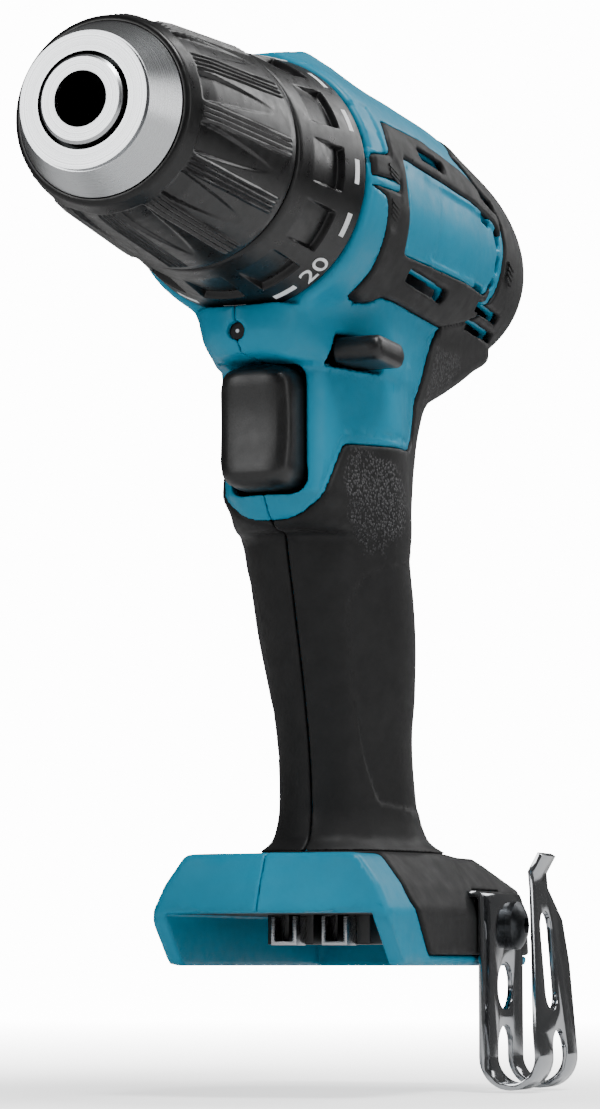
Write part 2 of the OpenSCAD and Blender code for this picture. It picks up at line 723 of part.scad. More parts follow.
module motor_shaft() {
    color(steel) tube_x(pinion_front_x, end_cap_back_x - 3.5, shaft_r, 0);
}

// Lamination stack with its windings, commutator and fan
module armature() {
    slot_w = 1.6;
    color(dark_steel) difference() {
        tube_x(stack_front_x, stack_back_x, armature_r, shaft_r);
        around(armature_poles) span([-far, -slot_w / 2, armature_r * 0.62], [0, slot_w / 2, far]);
    }
    color("#9c5a2c") for (x = [stack_front_x + 4, stack_back_x])
        tube_x(x, x - 4, armature_r - 1.6, shaft_r + 1);
    color("#b8703c") tube_x(stack_back_x - 4, motor_back_x - 5.2, commutator_r, shaft_r);
    color(plastic_black) {
        tube_x(motor_front_x - 4, motor_front_x - 11, 3.4, shaft_r);
        tube_x(motor_front_x - 10, motor_front_x - 11, armature_r, 3.4 - eps);
        around(12) span([motor_front_x - 10.2, -0.4, 5], [motor_front_x - 5, 0.4, armature_r]);
    }
}

module motor_pinion() {
    color(brass) difference() {
        along_x(cover_back_x + 2) outer_gear(sun_teeth, pinion_front_x - cover_back_x - 2);
        along_x(-far) cylinder(h = far, r = shaft_r, $fn = round_fn);
    }
}

// Front and back bearing of the motor shaft
module motor_bearings() {
    color(steel) {
        tube_x(cover_back_x + 1, motor_front_x - can_wall, 5, shaft_r + run_gap);
        tube_x(motor_back_x - 6, end_cap_back_x - 2.5, 5, shaft_r + run_gap);
    }
}

// ---------- Outer skin of the housing ----------

flange_r = case_r - 0.5;
hood_front_x = flange_front_x + 0.25;
hood_front_r = ring_back_d / 2 + 1.1;
ridge_half_w = 8;
ridge_front_x = hood_front_x - 14.2;
ridge_back_x = ridge_front_x - 10.5;
barrel_front_x = ridge_back_x - 10.5;
tail_x = barrel_front_x - 15.5;
tail_len = tool_len + tail_x;
tail_rise = 1.2;
// Place along the tail and share of the barrel's radius
tail_shape = [[0, 1], [0.25, 0.945], [0.41, 0.905], [0.56, 0.86], [0.71, 0.785], [0.84, 0.69],
    [0.93, 0.57], [0.98, 0.41], [1, 0.2]];
chin_front_x = ring_back_x + 5.7;
chin_top_z = -23.9;
chin_z = -flange_r - 11.6;
grip_top_z = chin_z - trigger_h - 5;
foot_top_z = -foot_drop + 21.5;
foot_front_x = chin_front_x - 10.5;
foot_back_x = foot_front_x - 90;
foot_lip_z = -foot_drop + bay_h + 0.6;

// A level section is the outline around a few circles, each [across, up, radius]. Its points
// follow from directions, so the points of two sections pair up and a growth moves them outwards.
function rim_point(circles, g, d) = let (reach = [for (c = circles) c[0] * d[0] + c[1] * d[1] + c[2]],
    c = circles[search(max(reach), reach)[0]]) [c[0] + (c[2] + g) * d[0], c[1] + (c[2] + g) * d[1]];
function rim(circles, g) = [for (k = [0:skin_fn - 1])
    rim_point(circles, g, [cos(360 * (k + 0.5) / skin_fn), sin(360 * (k + 0.5) / skin_fn)])];

// Closed skin through rims of equal point counts, given from the far end of their axis or the near
module loft(rims, rising) {
    n = skin_fn;
    last = len(rims) - 1;
    polyhedron(points = [for (r = rims) each r], convexity = 6, faces = concat(
        [[for (k = [0:n - 1]) rising ? k : n - 1 - k], [for (k = [0:n - 1]) last * n + (rising ? n - 1 - k : k)]],
        [for (i = [0:last - 1]) for (k = [0:n - 1]) let (a = rising ? i : i + 1, b = rising ? i + 1 : i)
            [a * n + k, b * n + k, b * n + (k + 1) % n, a * n + (k + 1) % n]]));
}

// Stations of the barrel from its front to its back: place and circles
function barrel_stations(g, front) = concat(
    [[front, [[0, 0, hood_front_r]]],
    [ridge_front_x, [[0, 0, hood_front_r + 0.6], [-ridge_half_w + 3, ridge_z - 3, 3], [ridge_half_w - 3, ridge_z - 3, 3]]],
    [ridge_back_x, [[0, 0, barrel_r - 0.3], [-ridge_half_w + 3, ridge_z - 3, 3], [ridge_half_w - 3, ridge_z - 3, 3]]],
    [barrel_front_x, [[0, 0, barrel_r]]]],
    [for (t = tail_shape) [tail_x - t[0] * (tail_len + g), [[0, tail_rise * t[0] * t[0], max(barrel_r * t[1], 3)]]]]);

module barrel_skin(g, front = hood_front_x) {
    loft([for (s = barrel_stations(g, front)) [for (q = rim(s[1], g)) [s[0], q[0], q[1]]]], false);
}

// Skin through level sections: height and circles
module level_skin(sections, g) {
    loft([for (s = sections) [for (q = rim(s[1], g)) [q[0], q[1], s[0]]]], sections[0][0] < sections[1][0]);
}

// Level sections of the neck: height, then place and radius of front, middle and back circles
neck = [
    [-8, chin_front_x, 12.6, -100, 20, -166, 12],
    [-19, chin_front_x, 12.3, -101, 19.2, -176, 16],
    [-23.5, chin_front_x, 12, -102, 18.8, -166.5, 16],
    [-30, chin_front_x - 0.4, 10.4, -103.5, 18.4, -152, 15],
    [chin_z, chin_front_x - 3.7, 8.8, -105, 18, -142, 14]];
cheeks = [
    [chin_z + 1.5, chin_front_x - 12.7, 12, -105, 18, -142.8, 14],
    [chin_z - 11, chin_front_x - 12.9, 12, -107, 17.4, -135.6, 14],
    [chin_z - trigger_h + 0.5, chin_front_x - 13.2, 12, -109.5, 16.8, -133, 14],
    [grip_top_z + 1.5, chin_front_x - 15.8, 11, -111, 16.5, -132.6, 14],
    [grip_top_z - 1.4, chin_front_x - 19, 12, -111, 16.3, -132.6, 14]];

module neck_skin(g) {
    for (run = [neck, cheeks]) level_skin([for (s = run)
        [s[0], [[s[1] - s[2], 0, s[2]], [s[3], 0, s[4]], [s[5] + s[6], 0, s[6]]]]], g);
}

// Room for the torque ring over the chin
module ring_room(gap) {
    trough_back_x = ring_back_x - gap;
    turned([[0, 1], [ring_front_d / 2 + gap, ring_front_x + 2], [ring_back_d / 2 + gap, ring_back_x],
        [ring_back_d / 2 + gap, trough_back_x], [0, trough_back_x]]);
    span([trough_back_x - 0.2, -far, chin_top_z], [0, far, far]);
}

// Level sections of the grip: height, middle, half depth and half width
grip = [
    [grip_top_z + 1, -111.4, 21, waist_half_w + 3.4],
    [-80, -116.1, 20.7, waist_half_w + 3.1],
    [-95, -119.9, 20, waist_half_w + 1.7],
    [-108, -122.5, 19.6, waist_half_w],
    [-118, -123.9, 20, waist_half_w + 0.4],
    [foot_top_z + 4, -124.5, 21.5, waist_half_w + 2],
    [foot_top_z - 1, -126, 27, waist_half_w + 6.5],
    [foot_top_z - 4, -126, 28, waist_half_w + 7.5]];

module grip_skin(g) {
    level_skin([for (s = grip) let (r = 0.74 * s[3])
        [s[0], [[s[1] + s[2] - r, 0, r], [s[1], 0, s[3]], [s[1] - s[2] + r, 0, r]]]], g);
}

// Plan of the foot: a blunt bow in front and rounded corners behind
function foot_plan(front, bow, half_w, back) = let (c = 2.8, e = 8) [[front - c, 0, c],
    [front - bow - c, half_w - c, c], [front - bow - c, -half_w + c, c],
    [back + e, half_w - e, e], [back + e, -half_w + e, e]];

module foot_skin(g) {
    difference() {
        level_skin([
            [-foot_drop, foot_plan(foot_front_x, 5.5, foot_half_w, foot_back_x)],
            [foot_lip_z, foot_plan(foot_front_x, 5.5, foot_half_w, foot_back_x)],
            [foot_lip_z + 5, foot_plan(foot_front_x - 1.8, 4, foot_half_w - 0.4, foot_back_x)],
            [foot_top_z + g, foot_plan(foot_front_x - 4.6, 1.6, foot_half_w - 6.8, foot_back_x + 13)]], g);
        // the side walls rake back under the lip
        translate([foot_front_x - 4.2 + g, -far / 2, foot_lip_z - g]) rotate([0, 43, 0])
            translate([0, 0, -far]) cube([far, far, far]);
    }
}

module skin(g) {
    difference() {
        union() {
            barrel_skin(g);
            neck_skin(g);
            grip_skin(g);
            foot_skin(g);
        }
        ring_room(0.45);
    }
}

// ---------- Side outlines of the rubber ----------

panel_front_x = ring_back_x - 15.5;
panel_back_x = panel_front_x - 54;

module grip_outline() {
    polygon([[chin_front_x - 27, -50], [chin_front_x - 22, grip_top_z + 6], [chin_front_x - 21, grip_top_z + 2.5],
        [chin_front_x - 24, grip_top_z - 1], [-60, grip_top_z - 1], [-60, foot_top_z + 0.8],
        [-180, foot_top_z + 0.8], [-180, -22], [-127, -20], [-121, -28.6], [-112.5, -45.8], [-110.8, -47],
        [-97, -47], [-94, -48]]);
}

module foot_outline() {
    polygon([[foot_front_x - 19, foot_top_z + 1], [foot_front_x - 19, foot_lip_z + 2],
        [foot_front_x - 27, -foot_drop + 2], [-far, -foot_drop + 2], [-far, foot_top_z + 1]]);
}

module tail_outline() {
    polygon([[tail_x - 1, 40], [-far, 40], [-far, -40], [-126, -40], [-126.5, -19.5], [panel_back_x, -15.5],
        [panel_back_x - 4, -8], [panel_back_x - 4.5, 3], [panel_back_x - 3, 6.8], [tail_x + 1, 12.5]]);
}

// Frame around the side panel: a front bar with its foot, an upper bar and a lower bar
module frame_outline() {
    difference() {
        polygon([[panel_front_x + 6, 11], [tail_x, 12.5], [panel_back_x - 3, 6.8], [panel_back_x, -15.5],
            [-126.5, -19.5], [panel_front_x - 6, -20.5], [panel_front_x - 2, -24], [panel_front_x + 4, -23.5],
            [panel_front_x + 8, -4], [panel_front_x + 9, 3]]);
        polygon([[panel_front_x, 6.2], [panel_back_x, 5.2], [panel_back_x, -11], [panel_back_x + 4, -12.4],
            [panel_front_x, -11.9]]);
        polygon([[panel_front_x + 12, 0.2], [panel_front_x + 1, -0.8], [panel_front_x + 1, -3.2],
            [panel_front_x + 12, -2.6]]);
    }
}

// Everything beside the outline of the rubber, shrunk by a fitting gap
module rubber_zone(gap) {
    rotate([90, 0, 0]) translate([0, 0, -far / 2]) linear_extrude(height = far) offset(delta = -gap) {
        grip_outline();
        foot_outline();
        tail_outline();
        frame_outline();
    }
}

module half_space(s, gap = 0) {
    span([-far, s > 0 ? gap : -far, -far], [far, s > 0 ? far : -gap, far]);
}

// ---------- Housing halves ----------

// Screw posts: place, height and depth of the head's seat from the middle
posts = [[chin_front_x - 13.2, -case_r - 4.2, 11.5], [-126, -36, 10], [-118, -77, waist_half_w - 1],
    [-123, -103, waist_half_w - 3], [foot_front_x - 20.5, foot_lip_z + 5.2, 19],
    [foot_back_x + 13, foot_lip_z + 5.2, 18], [tail_x - 3.3, motor_r + 4.3, 8.5],
    [end_cap_back_x - 8.8, 6, 9.5], [-146, -motor_r - 6.9, 9.5]];
post_r = 3.7;
post_screw_r = 1.45;
post_head_r = 2.7;
led_x = chin_front_x - 0.7;
led_z = -29.3;
led_r = 1.6;
led_flange_r = led_r + 0.6;
lever_front_x = chin_front_x - 18.4;
lever_back_x = lever_front_x - 14.5;
lever_top_z = -28.2;
lever_bottom_z = -33.3;
lever_bar_front_x = lever_front_x - 7;
trigger_front_x = chin_front_x - 7.2;
trigger_back_x = trigger_front_x - 11.2;
trigger_top_z = chin_z - 0.1;
trigger_bottom_z = trigger_top_z - trigger_h;
switch_front_x = trigger_back_x - trigger_travel - 2.4;
switch_back_x = switch_front_x - 25;
switch_half_w = 8.6;
switch_top_z = lever_bottom_z - slip;
block_front_x = foot_front_x - 31;
block_back_x = block_front_x - 16;
block_half_w = 11;
hook_x = foot_back_x + 20.5;
hook_mid_x = hook_x + 5.5;
hook_z = foot_lip_z - 2.4;
nut_in_y = foot_half_w - 6.6;
nut_t = 3.2;
nut_r = 4;
hook_slot_z = foot_lip_z + 4.4;
chamber_top_z = foot_top_z - 2.6;

// Plate that holds a round piece in the barrel
module rib(x, r) {
    difference() {
        intersection() {
            barrel_skin(-1.5);
            span([x - 2, -far, -far], [x, far, far]);
        }
        tube_x(x + 1, x - 3, r + chord, 0);
        at_case_screws() along_x(x - 3) cylinder(h = 4, r = case_boss_r + chord, $fn = 16);
        span([x - 3, -speed_half_w - 0.8, 0], [x + 1, speed_half_w + 0.8, far]);
        span([x - 3, -9.5, -far], [x + 1, 9.5, 0]);
    }
}

module inside() {
    wall = -shell_wall;
    difference() {
        union() {
            barrel_skin(wall, flange_back_x + 1.6);
            neck_skin(wall);
            grip_skin(wall);
        }
        // floor between the grip and the battery bay
        span([-far, -far, -far], [0, far, foot_lip_z + 1.2]);
    }
    // front hole around the gear case's flange, and a thinner wall around its screws and the wire
    tube_x(0, flange_back_x, flange_r + chord, 0);
    tube_x(shift_groove_x + 2, motor_front_x - 2, case_screw_circle + case_boss_r + 0.3, 0);
    // battery bay with its open front and bottom, and the chamber over it
    span([foot_back_x + 7, -bay_w / 2, -far], [0, bay_w / 2, -foot_drop + bay_h]);
    hull() {
        span([foot_back_x + 9, -foot_half_w + 5, foot_lip_z + 1.2], [foot_front_x - 12, foot_half_w - 5,
            foot_lip_z + 1.3]);
        span([foot_back_x + 14, -foot_half_w + 10, chamber_top_z], [foot_front_x - 16, foot_half_w - 10,
            chamber_top_z + 0.1]);
    }
    span([block_back_x - 0.3, -block_half_w - 0.3, -far], [block_front_x + 0.3, block_half_w + 0.3, chamber_top_z]);
}

module openings() {
    gap = 0.5;
    // trigger window
    span([switch_front_x, -trigger_w / 2 - gap, trigger_bottom_z - gap],
        [0, trigger_w / 2 + gap, trigger_top_z + gap]);
    // slot of the direction lever
    span([lever_back_x - gap, -far, lever_bottom_z - gap], [lever_front_x + gap, far, lever_top_z + gap]);
    // light
    translate([led_x - 6, 0, led_z]) rotate([0, 90, 0]) {
        cylinder(h = 20, r = led_r + chord, $fn = 24);
        cylinder(h = 2.8, r = led_flange_r + chord, $fn = 24);
    }
    span([led_x - 5.5, -5.1, led_z - 3.5], [led_x - 4, 5.1, led_z + 3.5]);
    // window of the speed lever
    span([speed_window_back_x, -speed_half_w - 0.5, 15], [speed_window_front_x, speed_half_w + 0.5, far]);
    // air vents in both sides, under and over the panel
    for (v = [[-96, 9.5], [-101.5, 9.5], [-107, 9.5], [-133, 8.5], [-138, 8.2], [-96, -15.8], [-101.5, -16],
        [-129, -16.5], [-134, -16.5]]) span([v[0] - 3.6, -far, v[1] - 1.8], [v[0], far, v[1] + 1.8]);
    // free thread and nut for the belt hook on each side, and the slot for its tongue
    across(hook_x, hook_z, -far, far, hook_screw_d / 2 + 0.6, 24);
    for (s = [-1, 1]) across(hook_x, hook_z, min(s * nut_in_y, s * (nut_in_y + nut_t)),
        max(s * nut_in_y, s * (nut_in_y + nut_t)), nut_r + 0.1, 6);
    for (s = [-1, 1]) span([hook_mid_x - hook_w / 2 - 0.4, s > 0 ? foot_half_w - 4.4 : -foot_half_w - 5,
        hook_slot_z - hook_t - 0.3], [hook_mid_x + hook_w / 2 + 0.4, s > 0 ? foot_half_w + 5 : -foot_half_w + 4.4,
        hook_slot_z + 0.3]);
}

// Posts for the screws: blind on the left, stepped through on the right
module post_bodies() {
    for (p = posts) hull() {
        across(p[0], p[1], -eps, eps, post_r - 0.3, 12);
        for (s = [-1, 1]) across(p[0], p[1], s * (foot_half_w + 2) - eps, s * (foot_half_w + 2) + eps, post_r, 12);
    }
}

// Drafted holes over the screw heads
module head_holes() {
    for (p = posts) hull() {
        across(p[0], p[1], -p[2] - eps, -p[2], post_head_r + 2 * chord, 12);
        across(p[0], p[1], -far, -far + eps, post_head_r + 5, 12);
    }
}

module post_holes() {
    head_holes();
    for (p = posts) across(p[0], p[1], -p[2] - 1, screw_len - p[2] + 0.6, post_screw_r + chord, 12);
}

// Blocks that hold the hook's nuts and rails that carry the battery
module bay_details() {
    for (s = [-1, 1]) {
        span([hook_x - 6, min(s * (bay_w / 2 + 1), s * (nut_in_y - 1.2)), hook_z - 5],
            [hook_x + 6, max(s * (bay_w / 2 + 1), s * (nut_in_y - 1.2)), -foot_drop + bay_h + 1]);
        span([foot_back_x + 10, min(s * (bay_w / 2 + 1), s * (bay_w / 2 - 2)), -foot_drop],
            [foot_front_x - 20, max(s * (bay_w / 2 + 1), s * (bay_w / 2 - 2)), -foot_drop + 2.6]);
    }
}

module housing_half(s) {
    intersection() {
        half_space(s);
        union() {
            difference() {
                union() {
                    difference() {
                        skin(0);
                        inside();
                    }
                    intersection() {
                        post_bodies();
                        skin(-0.3);
                    }
                    rib(flange_back_x - 3, case_r);
                    rib(case_back_x + 3, case_r);
                    rib(motor_front_x - 12, motor_r);
                    rib(motor_back_x + 13, motor_r);
                    bay_details();
                }
                difference() {
                    rubber_zone(0);
                    skin(-rubber_depth);
                }
                openings();
                post_holes();
            }
        }
    }
}

module housing_left() { color(teal) housing_half(1); }
module housing_right() { color(teal) housing_half(-1); }

// Soft rubber moulded over one shell
module grip_half(s) {
    color(rubber_black) difference() {
        intersection() {
            difference() {
                skin(rubber_proud);
                skin(-rubber_depth + 0.08);
            }
            rubber_zone(0.1);
            half_space(s, 0.05);
        }
        openings();
        head_holes();
        span([-far, -bay_w / 2, -far], [0, bay_w / 2, -foot_drop + bay_h + 2]);
    }
}

module grip_left() { grip_half(1); }
module grip_right() { grip_half(-1); }

module housing_screws() {
    color(dark_steel) for (p = posts) difference() {
        union() {
            across(p[0], p[1], -p[2], screw_len - p[2], post_screw_r, 24);
            across(p[0], p[1], -p[2] - 2, -p[2], post_head_r, 24);
        }
        across(p[0], p[1], -p[2] - 3, -p[2] - 0.9, 1.2, 6);
    }
}

// ---------- Light and controls ----------

module led_lens() {
    color("#e8eef2") translate([led_x - 4, 0, led_z]) rotate([0, 90, 0]) {
        cylinder(h = 3.2, r = led_r, $fn = 32);
        cylinder(h = 0.8, r = led_flange_r, $fn = 32);
    }
}

module led_board() {
    color("#2f6b3c") span([led_x - 5.4, -5, led_z - 3.4], [led_x - 4, 5, led_z + 3.4]);
}

// Trigger: a soft-cornered block with a hollow finger face, drawn as a hull of rounded ends
module trigger() {
    r = 4.6;
    half = trigger_w / 2;
    color(plastic_black) difference() {
        hull() for (y = [-half + r, half - r]) {
            translate([trigger_front_x - r, y, trigger_top_z - r]) sphere(r = r, $fn = 24);
            translate([trigger_front_x - r, y, trigger_bottom_z + r]) sphere(r = r, $fn = 24);
            translate([trigger_back_x, y, trigger_bottom_z]) cylinder(h = trigger_h, r = r, $fn = 24);
        }
        span([-far, -far, -far], [trigger_back_x, far, far]);
        across(trigger_front_x + 33, (trigger_top_z + trigger_bottom_z) / 2, -far, far, 34.2, 96);
        span([trigger_back_x - 1, -half + 2, trigger_bottom_z + 2],
            [trigger_back_x + 6, half - 2, trigger_top_z - 2]);
    }
}

plunger_z = (trigger_top_z + trigger_bottom_z) / 2;
plunger_r = 1.8;

module switch_plunger() {
    color(plastic_black) translate([0, 0, plunger_z]) {
        along_x(switch_front_x - 8) cylinder(h = trigger_back_x + 6 - switch_front_x + 8, r = plunger_r, $fn = 32);
        along_x(trigger_back_x + 4.6) cylinder(h = 1.4, r = 5, $fn = 32);
    }
}

module trigger_spring() {
    color(steel) translate([0, 0, plunger_z])
        swept(coil_points(trigger_back_x + 4.5, switch_front_x + 0.05, plunger_r + 1.6, 6, 12, 0.5), 0.5, 6, [1, 0, 0]);
}

module switch_body() {
    low = trigger_bottom_z - 2;
    color("#26272a") difference() {
        union() {
            span([switch_back_x, -switch_half_w, low], [switch_front_x, switch_half_w, switch_top_z]);
            span([switch_back_x - 3, -6, low + 6], [switch_back_x, 6, switch_top_z - 7]);
        }
        translate([0, 0, plunger_z]) along_x(switch_front_x - 15)
            cylinder(h = 20, r = plunger_r + run_gap, $fn = 32);
    }
}

// Direction lever: a bar across the tool with a rounded paddle at each end, pushed to the left
module direction_lever() {
    root_y = 11.4;
    color(plastic_black) translate([0, lever_travel, 0]) {
        span([lever_back_x + 0.6, -root_y, lever_bottom_z + 2.2], [lever_bar_front_x, root_y, lever_top_z - 0.2]);
        for (s = [-1, 1]) difference() {
            span([lever_back_x, min(s * root_y, s * lever_len / 2), lever_bottom_z],
                [lever_front_x, max(s * root_y, s * lever_len / 2), lever_top_z]);
            for (x = [lever_back_x, lever_front_x]) translate([x, s * lever_len / 2, 0]) rotate([0, 0, 45])
                cube([3.6, 3.6, far], center = true);
        }
    }
}

// ---------- Battery terminals and wiring ----------

module terminal_block() {
    color(plastic_black) difference() {
        span([block_back_x, -block_half_w, foot_lip_z - 6.4], [block_front_x, block_half_w, chamber_top_z - 0.4]);
        for (y = [-5.2, 0, 5.2]) span([block_front_x - 5, y - 1.1, -far], [block_front_x + 1, y + 1.1, foot_lip_z + 1]);
    }
}

// Two bent contact blades that stand out of the block
module terminal_blades() {
    blade_t = 0.8;
    blade_top_z = -foot_drop + bay_h - 0.3;
    color(steel) for (s = [-1, 1]) {
        span([block_front_x, s * 5.4 - 2.7, foot_lip_z - 5.8], [block_front_x + 5, s * 5.4 - 2.7 + blade_t,
            blade_top_z]);
        span([block_front_x, s * 5.4 + 2.7 - blade_t, foot_lip_z - 5.8], [block_front_x + 5, s * 5.4 + 2.7,
            blade_top_z]);
        span([block_front_x, s * 5.4 - 2.7, foot_lip_z - 5.8 - blade_t], [block_front_x + 5, s * 5.4 + 2.7,
            foot_lip_z - 5.8]);
    }
}

lead_r = 1;
// Routes of the leads, chosen by hand: place along X and height
battery_route = [[-110.5, -131.2], [-110.6, -126], [-110.6, -118], [-110.4, -110], [-109.6, -100], [-107.5, -90],
    [-105.5, -80], [-104, -72], [-103.5, -62.2]];
motor_route = [[-116.5, -31.2], [-117.2, -28], [-119.6, -24.2], [-123.5, -21.3], [-129, -19.7], [-140, -19.4],
    [-150, -19.3], [-160, -19.2], [-166.5, -18.9], [-168.9, -18], [-170.1, -15.8], [-169.8, -14]];

module lead(route, y) {
    swept([for (p = route) [p[0], y, p[1]]], lead_r, 8);
}

module battery_leads() {
    top = [battery_route[8][0], trigger_bottom_z - 2.05];
    base = [battery_route[0][0], chamber_top_z - 0.35];
    route = concat([base], [for (i = [1:7]) battery_route[i]], [top]);
    color("#a3241f") lead(route, 4);
    color("#161616") lead(route, -4);
}

module motor_leads() {
    route = concat([[motor_route[0][0], switch_top_z]], motor_route, [[end_cap_back_x, -14]]);
    color("#a3241f") lead(route, 4.5);
    color("#161616") lead(route, -4.5);
}

// ---------- Belt hook ----------

hook_y = foot_half_w + rubber_proud + 0.1;
hook_top_z = hook_slot_z;
hook_low_z = -foot_drop - hook_drop;
hook_bend_r = hook_gap / 2;
hook_bend_z = hook_low_z + hook_t + hook_bend_r;
hook_lean = 4.5;
hook_tip_z = hook_top_z + 4;

// Slot with round ends through the hook's strip, from one height to another
module hook_slot(x, low, high, w, y0, y1) {
    across(x, low + w / 2, y0, y1, w / 2, 32);
    across(x, high - w / 2, y0, y1, w / 2, 32);
    span([x - w / 2, y0, low + w / 2], [x + w / 2, y1, high - w / 2]);
}

// Closed outline of a bent strip from its middle line, with mitred corners
function line_dir(p, i) = unit(p[min(i + 1, len(p) - 1)] - p[min(i, len(p) - 2)]);
function mitre(p, i) = let (a = line_dir(p, max(i - 1, 0)), b = i < len(p) - 1 ? line_dir(p, i) : a,
    m = unit(a + b)) [-m[1], m[0]] / (m * b);
function strip_outline(p, t) = concat([for (i = [0:len(p) - 1]) p[i] + mitre(p, i) * t / 2],
    [for (i = [len(p) - 1:-1:0]) p[i] - mitre(p, i) * t / 2]);

// Bent steel strip: tongue, fixed leg, round bend and a free leg that leans back to the tool
module belt_hook() {
    half = hook_w / 2;
    bend_y = hook_y + hook_t + hook_bend_r;
    bend_mid_r = hook_bend_r + hook_t / 2;
    free_dir = [-sin(hook_lean), cos(hook_lean)];
    free_start = [bend_y, hook_bend_z] + bend_mid_r * [cos(hook_lean), sin(hook_lean)];
    tip_start = free_start + (hook_tip_z - hook_bend_z - 0.6) * free_dir;
    middle = concat(
        [[foot_half_w - 4, hook_top_z - hook_t / 2], [hook_y - 0.6, hook_top_z - hook_t / 2],
        [hook_y + hook_t / 2 - 0.35, hook_top_z - hook_t / 2 - 0.35], [hook_y + hook_t / 2, hook_top_z - hook_t - 0.6]],
        [for (i = [0:18]) let (a = 180 + i * (180 + hook_lean) / 18)
            [bend_y, hook_bend_z] + bend_mid_r * [cos(a), sin(a)]],
        [tip_start, tip_start + 4.2 * [sin(29.5), cos(29.5)]]);
    leg_low_z = hook_bend_z + 5;
    leg_len = hook_tip_z - leg_low_z;
    color(steel) difference() {
        translate([hook_mid_x - half, 0, 0]) rotate([90, 0, 90]) linear_extrude(height = hook_w)
            polygon(strip_outline(middle, hook_t));
        // the free leg narrows to its tip
        translate([hook_mid_x, far, leg_low_z]) rotate([90, 0, 0]) linear_extrude(height = far - bend_y) {
            polygon([[half, -0.01], [half + 9, -0.01], [half + 9, leg_len + 9], [half - 5, leg_len + 9],
                [half - 5, leg_len * 0.88], [half - 2.5, leg_len * 0.4]]);
            polygon([[-half, -0.01], [-half - 9, -0.01], [-half - 9, leg_len + 9], [-1.5, leg_len + 9],
                [-1.5, leg_len * 0.9], [-half + 2.6, leg_len * 0.7], [-half + 0.3, leg_len * 0.42]]);
        }
        across(hook_x, hook_z, hook_y - 1, hook_y + hook_t + 1, hook_screw_d / 2 + 0.2, 32);
        hook_slot(hook_mid_x - 1, hook_z - 17, hook_z - 7.4, 9, hook_y - 1, bend_y);
        hook_slot(hook_mid_x - 1, hook_low_z - 9, hook_z - 20, 9, hook_y - 1, bend_y);
        hook_slot(hook_mid_x - 1, hook_low_z - 9, hook_low_z + 12, 9, bend_y - 1, far);
        hook_slot(hook_mid_x + 1.6, hook_z - 17, hook_top_z - 4, 7.4, bend_y, far);
    }
}

module hook_fixings() {
    thread_r = hook_screw_d / 2;
    color(dark_steel) {
        difference() {
            intersection() {
                across(hook_x, hook_z, hook_y + hook_t, hook_y + hook_t + 3.2, 4.9, 48);
                translate([hook_x, hook_y + hook_t - 4, hook_z]) sphere(r = 7.2, $fn = 64);
            }
            across(hook_x, hook_z, hook_y + hook_t + 1.4, far, 1.7, 6);
        }
        across(hook_x, hook_z, nut_in_y - 0.8, hook_y + hook_t, thread_r, 32);
        for (s = [-1, 1]) difference() {
            across(hook_x, hook_z, min(s * nut_in_y, s * (nut_in_y + nut_t)), max(s * nut_in_y, s * (nut_in_y + nut_t)),
                nut_r, 6);
            across(hook_x, hook_z, -far, far, thread_r, 48);
        }
    }
}

housing_left();
housing_right();
grip_left();
grip_right();
housing_screws();
led_lens();
led_board();
trigger();
trigger_spring();
switch_plunger();
switch_body();
direction_lever();
speed_lever();
shift_wire();
sliding_ring_gear();
torque_ring();
ring_retainer();
retainer_screws();
click_spring();
adjusting_nut();
clutch_spring();
clutch_washer();
clutch_pins();
gear_case();
gear_case_cover();
gear_case_screws();
clutch_ring_gear();
output_carrier();
output_planet_1();
output_planet_2();
output_planet_3();
input_carrier();
input_planet_1();
input_planet_2();
input_planet_3();
spindle();
spindle_bearing();
spindle_bush();
chuck_body();
chuck_collar();
chuck_sleeve();
chuck_nut();
chuck_jaw_1();
chuck_jaw_2();
chuck_jaw_3();
chuck_screw();
motor_can();
motor_magnets();
motor_end_cap();
motor_brushes();
motor_shaft();
armature();
motor_pinion();
motor_bearings();
motor_leads();
battery_leads();
terminal_block();
terminal_blades();
belt_hook();
hook_fixings();
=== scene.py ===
import json
import math
import bpy
import bmesh
import numpy as np
import openvdb
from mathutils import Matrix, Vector


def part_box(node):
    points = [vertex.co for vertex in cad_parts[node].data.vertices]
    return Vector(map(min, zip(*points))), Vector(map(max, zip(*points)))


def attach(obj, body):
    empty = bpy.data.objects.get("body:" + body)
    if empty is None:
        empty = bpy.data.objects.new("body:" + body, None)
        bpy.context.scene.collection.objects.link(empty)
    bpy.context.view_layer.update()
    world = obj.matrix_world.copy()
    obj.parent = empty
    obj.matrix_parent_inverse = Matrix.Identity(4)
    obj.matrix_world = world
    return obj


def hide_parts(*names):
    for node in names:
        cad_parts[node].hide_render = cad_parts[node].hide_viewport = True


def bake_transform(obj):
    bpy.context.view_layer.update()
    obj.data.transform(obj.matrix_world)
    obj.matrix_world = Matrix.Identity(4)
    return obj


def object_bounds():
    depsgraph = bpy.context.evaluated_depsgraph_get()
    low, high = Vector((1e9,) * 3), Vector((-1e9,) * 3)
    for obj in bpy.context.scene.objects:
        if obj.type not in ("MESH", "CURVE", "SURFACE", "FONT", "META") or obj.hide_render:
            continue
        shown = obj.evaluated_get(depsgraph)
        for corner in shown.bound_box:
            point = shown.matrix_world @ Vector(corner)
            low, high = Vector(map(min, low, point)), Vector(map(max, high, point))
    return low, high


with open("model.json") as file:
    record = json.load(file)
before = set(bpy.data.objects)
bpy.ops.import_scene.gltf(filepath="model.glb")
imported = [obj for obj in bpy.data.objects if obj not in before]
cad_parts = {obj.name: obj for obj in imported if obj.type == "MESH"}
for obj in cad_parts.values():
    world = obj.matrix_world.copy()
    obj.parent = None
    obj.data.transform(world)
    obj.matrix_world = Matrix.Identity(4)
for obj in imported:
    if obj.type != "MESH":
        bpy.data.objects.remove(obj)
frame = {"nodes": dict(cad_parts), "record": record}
cadBox = [list(c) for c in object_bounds()]
node = frame["nodes"]
